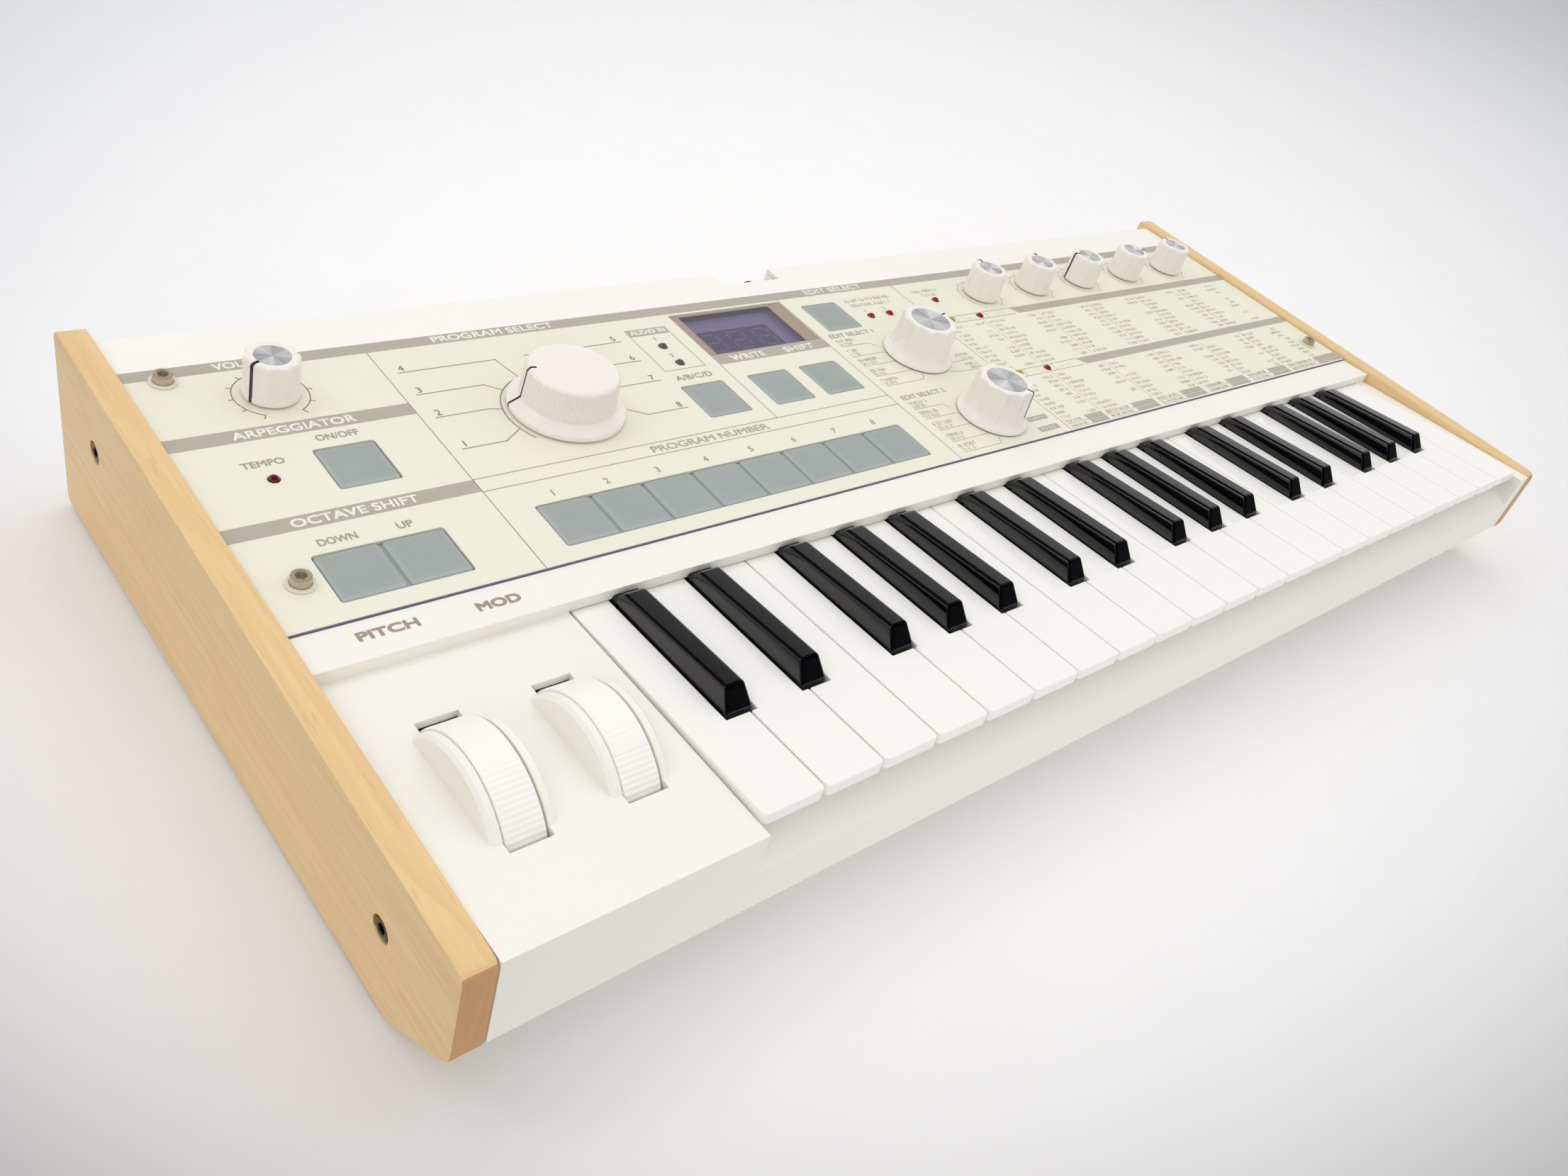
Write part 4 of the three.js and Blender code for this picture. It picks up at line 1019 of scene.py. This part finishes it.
def display():
    """The window, the painted margins behind it, and the display module with its three digits."""
    x0, s0, x1, s1 = 189.5, 76.9, 241.3, 102.8
    inset, behind = 0.15, -0.5
    levels = [(-1.7, inset), (-1.7 + inset, 0), (behind - inset, 0), (behind, inset)]
    rings = rounded_rings(x0, s0, x1, s1, 0.5, levels)
    made = Shell().loft(rings, PANEL).piece("display_pane", "pane", CASE, "display_pane")
    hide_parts("display_window")
    margin = Shell()
    left, right, gap = 193.1, 235.1, 0.2
    for a, b, c, d in (
        (x0 + gap, s0 + gap, left, s1 - gap),
        (right, s0 + gap, x1 - gap, s1 - gap),
        (left, s0 + gap, right, s0 + 1),
        (left, s1 - 1, right, s1 - gap),
    ):
        margin.bar(a, b, c, d, behind, -0.46)
    margin.piece("display_margin", "margin")
    backing = Shell()
    backing.bar(190.4, 77.2, 240.6, 102.6, -3.9, -3.4)
    backing.piece("display_backing", "backing")
    edges = ((-3.4, 0), (-2.3, 0), (-2.1, 0.2))
    rings = rounded_rings(193, 79, 228, 93.6, 0.6, edges)
    Shell().loft(rings, PANEL).piece("display_module", "module")
    digits = Shell()
    for x in (198.8, 210.5, 222.2):
        digit(digits, x, 86.3, 6.9, 10.2, -2.1)
    digits.piece("display_digits", "digit")


# ---- small hardware ----

LEDS = {
    "dark_red": [(28.6, 54.8)],
    "smoke": [(175.4, 86.2), (175.4, 76)],
    "red": [(276.3, 86.1), (286.6, 86.1), (317.6, 90.3), (330.3, 75.6), (330.2, 36.2)],
    "green": [(312.8, 75.7), (313.1, 36.7)],
}
LED_DOME = [(1.32, -0.45), (1.32, 0.15), (1.26, 0.5), (1.08, 0.8), (0.7, 1), (0.3, 1.1), (0.1, 1.12)]


def leds():
    for color, places in LEDS.items():
        shell = Shell()
        for x, s in places:
            shell.loft(turned(LED_DOME, 32), on_panel(x, s))
        shell.piece("led_" + color, color, sharp=60)


def hexagon(across, z, count=48):
    """A ring of points on a hexagon, matching a round ring's count."""
    def form(a):
        sixth = TAU / 6
        return across / 2 / math.cos((a + sixth / 2) % sixth - sixth / 2)

    return circle(0, z, count, form)


def socket_screw(shell, place, head, low, high, key):
    """A socket head with its hexagon hole."""
    outer = [(head - 0.15, low), (head, low + 0.15), (head, high - 0.35), (head - 0.12, high - 0.1)]
    rings = turned(outer + [(head - 0.35, high), (key * 0.66, high), (key * 0.62, high - 0.12)])
    rings += [hexagon(key, high - 0.2), hexagon(key, high - 1.6), circle(0.25, high - 1.9)]
    shell.loft(rings, place)


def panel_screws():
    heads, washers = Shell(), Shell()
    for x, s in ((18.4, 15.4), (18.4, 102.6), (505.6, 15.4), (505.6, 102.6)):
        place = on_panel(x, s)
        ring = [(2.7, 0.06), (3.7, 0.06), (3.75, 0.2), (3.75, 0.5), (3.6, 0.7), (2.85, 0.7), (2.7, 0.6)]
        washers.loft(turned(ring), place, wrap=True)
        socket_screw(heads, place, 2.63, 0.1, 3, 2.8)
    heads.piece("panel_screw_heads", "steel")
    washers.piece("panel_screw_washers", "washer")


CHEEK_SCREWS = ((-83.4, 26.4), (85.5, 36.1))
CHEEK_RECESS = 2.4


def cheek_screws():
    heads, rims = Shell(), Shell()
    faces = {-1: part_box("left_cheek")[0].x / MM, 1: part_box("right_cheek")[1].x / MM}
    for side, face in faces.items():
        turn = Matrix.Rotation(side * math.pi / 2, 4, "Y")
        for y, z in CHEEK_SCREWS:
            place = WORLD @ Matrix.Translation((face - side * CHEEK_RECESS, y, z)) @ turn
            socket_screw(heads, place, 2.75, 0.02, 2.1, 2.6)
            collar = [(2.8, 0.02), (3.35, 0.02), (3.35, 0.7), (3.25, 0.85), (2.9, 0.85), (2.8, 0.75)]
            rims.loft(turned(collar), place, wrap=True)
    heads.piece("cheek_screw_heads", "dark_steel")
    rims.piece("cheek_screw_washers", "black_plastic")


def microphone_socket():
    """A small round socket on the front wall of the notch, facing back."""
    shell, pins = Shell(), Shell()
    place = on_panel(240, 118, -4.9) @ Matrix.Rotation(-math.pi / 2, 4, "X")
    ring = [(3.6, 0.02), (4.3, 0.02), (4.4, 0.2), (4.4, 1.7), (4.2, 1.9), (3.8, 1.9), (3.6, 1.7)]
    shell.loft(turned(ring), place, wrap=True)
    pins.loft(turned([(3.5, 0.02), (3.5, 0.5), (3.3, 0.6), (0.3, 0.6)]), place)
    for i in range(3):
        a = math.radians(90 + 120 * i)
        spot = place @ Matrix.Translation((1.9 * math.cos(a), 1.9 * math.sin(a), 0))
        shell.loft(turned([(0.5, 0.3), (0.5, 1.5), (0.3, 1.7)], 16), spot)
    shell.piece("microphone_socket", "nickel")
    pins.piece("microphone_socket_base", "black_plastic")


# ---- rear connectors ----

REAR_Y = 108.7
REAR_Z = 34.5
JACK_XS = (-160, -136, -112, -88, -64)
DIN_XS = (30, 56, 82)
INLET_X, SWITCH_X = 188, 214


def rear_place(x):
    """A frame on the rear wall whose z points backwards."""
    return WORLD @ Matrix.Translation((x, REAR_Y, REAR_Z)) @ Matrix.Rotation(-math.pi / 2, 4, "X")


def rear_jacks():
    nuts, bushes = Shell(), Shell()
    for x in JACK_XS:
        place = rear_place(x)
        washer = [(5.6, 0.02), (7.2, 0.02), (7.3, 0.2), (7.3, 0.7), (7.1, 0.85), (5.6, 0.85)]
        nuts.loft(turned(washer), place, wrap=True)
        nut = [hexagon(across, z) for across, z in ((12, 0.85), (12.4, 1.1), (12.4, 2.6), (12, 2.9))]
        nuts.loft([circle(4.9, 0.85)] + nut + [circle(4.9, 2.9)], place, wrap=True)
        bush = [(3.2, -2), (4.85, -2), (4.85, 3.4), (4.6, 3.7), (3.5, 3.7), (3.2, 3.4)]
        bushes.loft(turned(bush), place, wrap=True)
    nuts.piece("rear_jack_nuts", "nickel")
    bushes.piece("rear_jack_bushes", "black_plastic")


def rear_din_sockets():
    faces, pins = Shell(), Shell()
    for x in DIN_XS:
        place = rear_place(x)
        ring = [(6.4, -1.2), (7.5, -1.2), (7.5, 0.02), (8.8, 0.02), (9, 0.7), (8.9, 1.2), (8.6, 1.35)]
        faces.loft(turned(ring + [(6.6, 1.35), (6.4, 1.2)]), place, wrap=True)
        faces.loft(turned([(6.3, -1.2), (6.3, -0.2), (6.1, 0), (0.4, 0)]), place)
        faces.bar(-1.2, 4.9, 1.2, 6.6, -0.6, 1, place)
        for i in range(5):
            a = math.radians(180 + 45 * i)
            spot = place @ Matrix.Translation((3.9 * math.cos(a), 3.9 * math.sin(a), 0))
            pins.loft(turned([(0.9, -0.1), (0.9, 0.15), (0.6, 0.15), (0.5, 0.05)], 20), spot)
    faces.piece("rear_socket_faces", "black_plastic")
    pins.piece("rear_socket_contacts", "nickel")


def rear_power():
    shell, metal, rocker = Shell(), Shell(), Shell()
    for x in (INLET_X, SWITCH_X):
        place = rear_place(x)
        outer = rounded_rings(-7.4, -6.9, 7.4, 6.9, 1.2, ((0.02, 0), (0.9, 0), (1.1, 0.25)))
        inner = rounded_rings(-5.4, -4.9, 5.4, 4.9, 0.6, ((1.1, 0), (0.02, 0)))
        shell.loft(outer + inner, place, wrap=True)
    inlet = rear_place(INLET_X)
    shell.loft(turned([(3, 0.05), (5, 0.05), (5, 0.6), (4.8, 0.75), (3, 0.75)]), inlet, wrap=True)
    metal.loft(turned([(0.95, 0.03), (0.95, 0.8), (0.7, 1)], 20), inlet)
    tilt = rear_place(SWITCH_X) @ Matrix.Rotation(math.radians(9), 4, "X")
    section = ((-4.6, 0.4), (4.6, 0.4), (4.6, 1.5), (2, 1.9), (-2, 1.9), (-4.6, 1.5))
    rocker.loft([[(x, y, z) for y, z in section] for x in (-5.1, 5.1)], tilt)
    rocker.bar(-2.4, 2.7, 2.4, 3.1, 1.5, 2, tilt)
    shell.piece("rear_power_bezels", "black_plastic")
    metal.piece("power_inlet_pin", "nickel")
    rocker.piece("power_rocker", "black_plastic")


# ---- stage, light and camera ----

CAMERA_AT = Vector((-351.24, -231.91, 258.73)) * MM
CAMERA_AIM = Vector((-127.65, -47.92, 50)) * MM
CAMERA_ROLL = 17.86
CAMERA_LENS = 29.755
SENSOR = 36.0
LIGHT_AIM = Vector((0, 0, 0.03))


def floor_material():
    """A seamless white table whose colour darkens towards the edges of the picture, bluish grey towards its
    top: painted shade of the light falling off.
    """
    material, tree, shader = blank("white_table")
    window = coordinates(tree, "Window")
    from_middle = {0: window, 1: (0.5, 0.56, 0)}
    centred = add_node(tree, "ShaderNodeVectorMath", {"operation": "SUBTRACT"}, from_middle).outputs[0]
    reach = distance(tree, centred)
    # painted shade: edge grows from the picture's middle, and dark is the colour it fades to
    edge = maths(tree, "POWER", maths(tree, "MULTIPLY", reach, 1.35), 3.2)
    dark = mixed(tree, axis(tree, window, 1), rgb(186, 186, 188), rgb(197, 202, 211))
    white = mixed(tree, noise(tree, position(tree), 35), rgb(247, 247, 248), rgb(251, 251, 252))
    color = mixed(tree, maths(tree, "MINIMUM", edge, 1), white, dark)
    grain = bumped(tree, noise(tree, position(tree), 400), 0.05)
    set_inputs(tree, shader, Base_Color=color, Normal=grain, Roughness=0.55)
    return material


def stage():
    mesh = bpy.data.meshes.new("table")
    reach = 20.0
    corners = [(-reach, -reach, 0), (reach, -reach, 0), (reach, reach, 0), (-reach, reach, 0)]
    mesh.from_pydata(corners, [], [(0, 1, 2, 3)])
    mesh.materials.append(floor_material())
    floor = bpy.data.objects.new("table", mesh)
    bpy.context.scene.collection.objects.link(floor)


def area_light(name, place, size, power, color, mirrored=True):
    """A soft box turned to the instrument; one that is not mirrored does not show in glossy surfaces."""
    data = bpy.data.lights.new(name, "AREA")
    data.shape = "RECTANGLE"
    data.size, data.size_y = size
    data.energy = power
    data.color = color
    made = bpy.data.objects.new(name, data)
    made.location = place
    made.rotation_euler = (LIGHT_AIM - Vector(place)).to_track_quat("-Z", "Y").to_euler()
    made.visible_glossy = mirrored
    bpy.context.scene.collection.objects.link(made)


def studio_world():
    """Even white light. Glossy parts mirror it low at the back only, and mirror a dark room in front."""
    world = bpy.data.worlds.new("studio")
    world.use_nodes = True
    tree = world.node_tree
    background = tree.nodes["Background"]
    background.inputs["Color"].default_value = (1, 0.99, 0.98, 1)
    toward = coordinates(tree, "Generated")
    back = maths(tree, "MULTIPLY", maths(tree, "ADD", axis(tree, toward, 1), 0.25), 2.5)
    low = maths(tree, "SUBTRACT", 1.5, maths(tree, "MULTIPLY", axis(tree, toward, 2), 2))
    seen = maths(tree, "MULTIPLY", clamped(tree, back, 0.06), clamped(tree, low, 0.06))
    glossy = add_node(tree, "ShaderNodeLightPath").outputs["Is Glossy Ray"]
    dimming = maths(tree, "MULTIPLY", glossy, maths(tree, "SUBTRACT", 1, seen))
    strength = maths(tree, "MULTIPLY", maths(tree, "SUBTRACT", 1, dimming), 0.8)
    feed(tree, background.inputs["Strength"], strength)
    bpy.context.scene.world = world


def lights():
    studio_world()
    area_light("overhead", (0.35, 0.5, 1.7), (2.2, 1.8), 9, (1, 0.99, 0.97), False)
    area_light("side", (1.6, -0.9, 1.2), (1.6, 1.4), 3, (1, 0.98, 0.95), False)
    area_light("window", (-1, 0.5, 1.2), (0.3, 0.45), 1.5, (1, 1, 1))
    area_light("fill", (-1.3, -1.5, 0.9), (1.8, 1.4), 6.5, (1, 0.98, 0.95), False)


def camera():
    scene = bpy.context.scene
    data = bpy.data.cameras.new("camera")
    data.lens = CAMERA_LENS
    data.sensor_width = SENSOR
    data.sensor_fit = "HORIZONTAL"
    data.clip_start = 0.01
    data.clip_end = 60
    made = bpy.data.objects.new("camera", data)
    look = (CAMERA_AIM - CAMERA_AT).to_track_quat("-Z", "Y").to_matrix().to_4x4()
    roll = Matrix.Rotation(math.radians(CAMERA_ROLL), 4, "Z")
    made.matrix_world = Matrix.Translation(CAMERA_AT) @ look @ roll
    scene.collection.objects.link(made)
    scene.camera = made
    scene.view_settings.view_transform = "Standard"
    scene.view_settings.look = "None"


dress_frame()
keys_and_caps()
make_knobs()
wheel("pitch_wheel", pitch_ribs)
wheel("mod_wheel", mod_ribs)
small_titles()
print_panel()
display()
leds()
panel_screws()
cheek_screws()
microphone_socket()
rear_jacks()
rear_din_sockets()
rear_power()
stage()
lights()
camera()
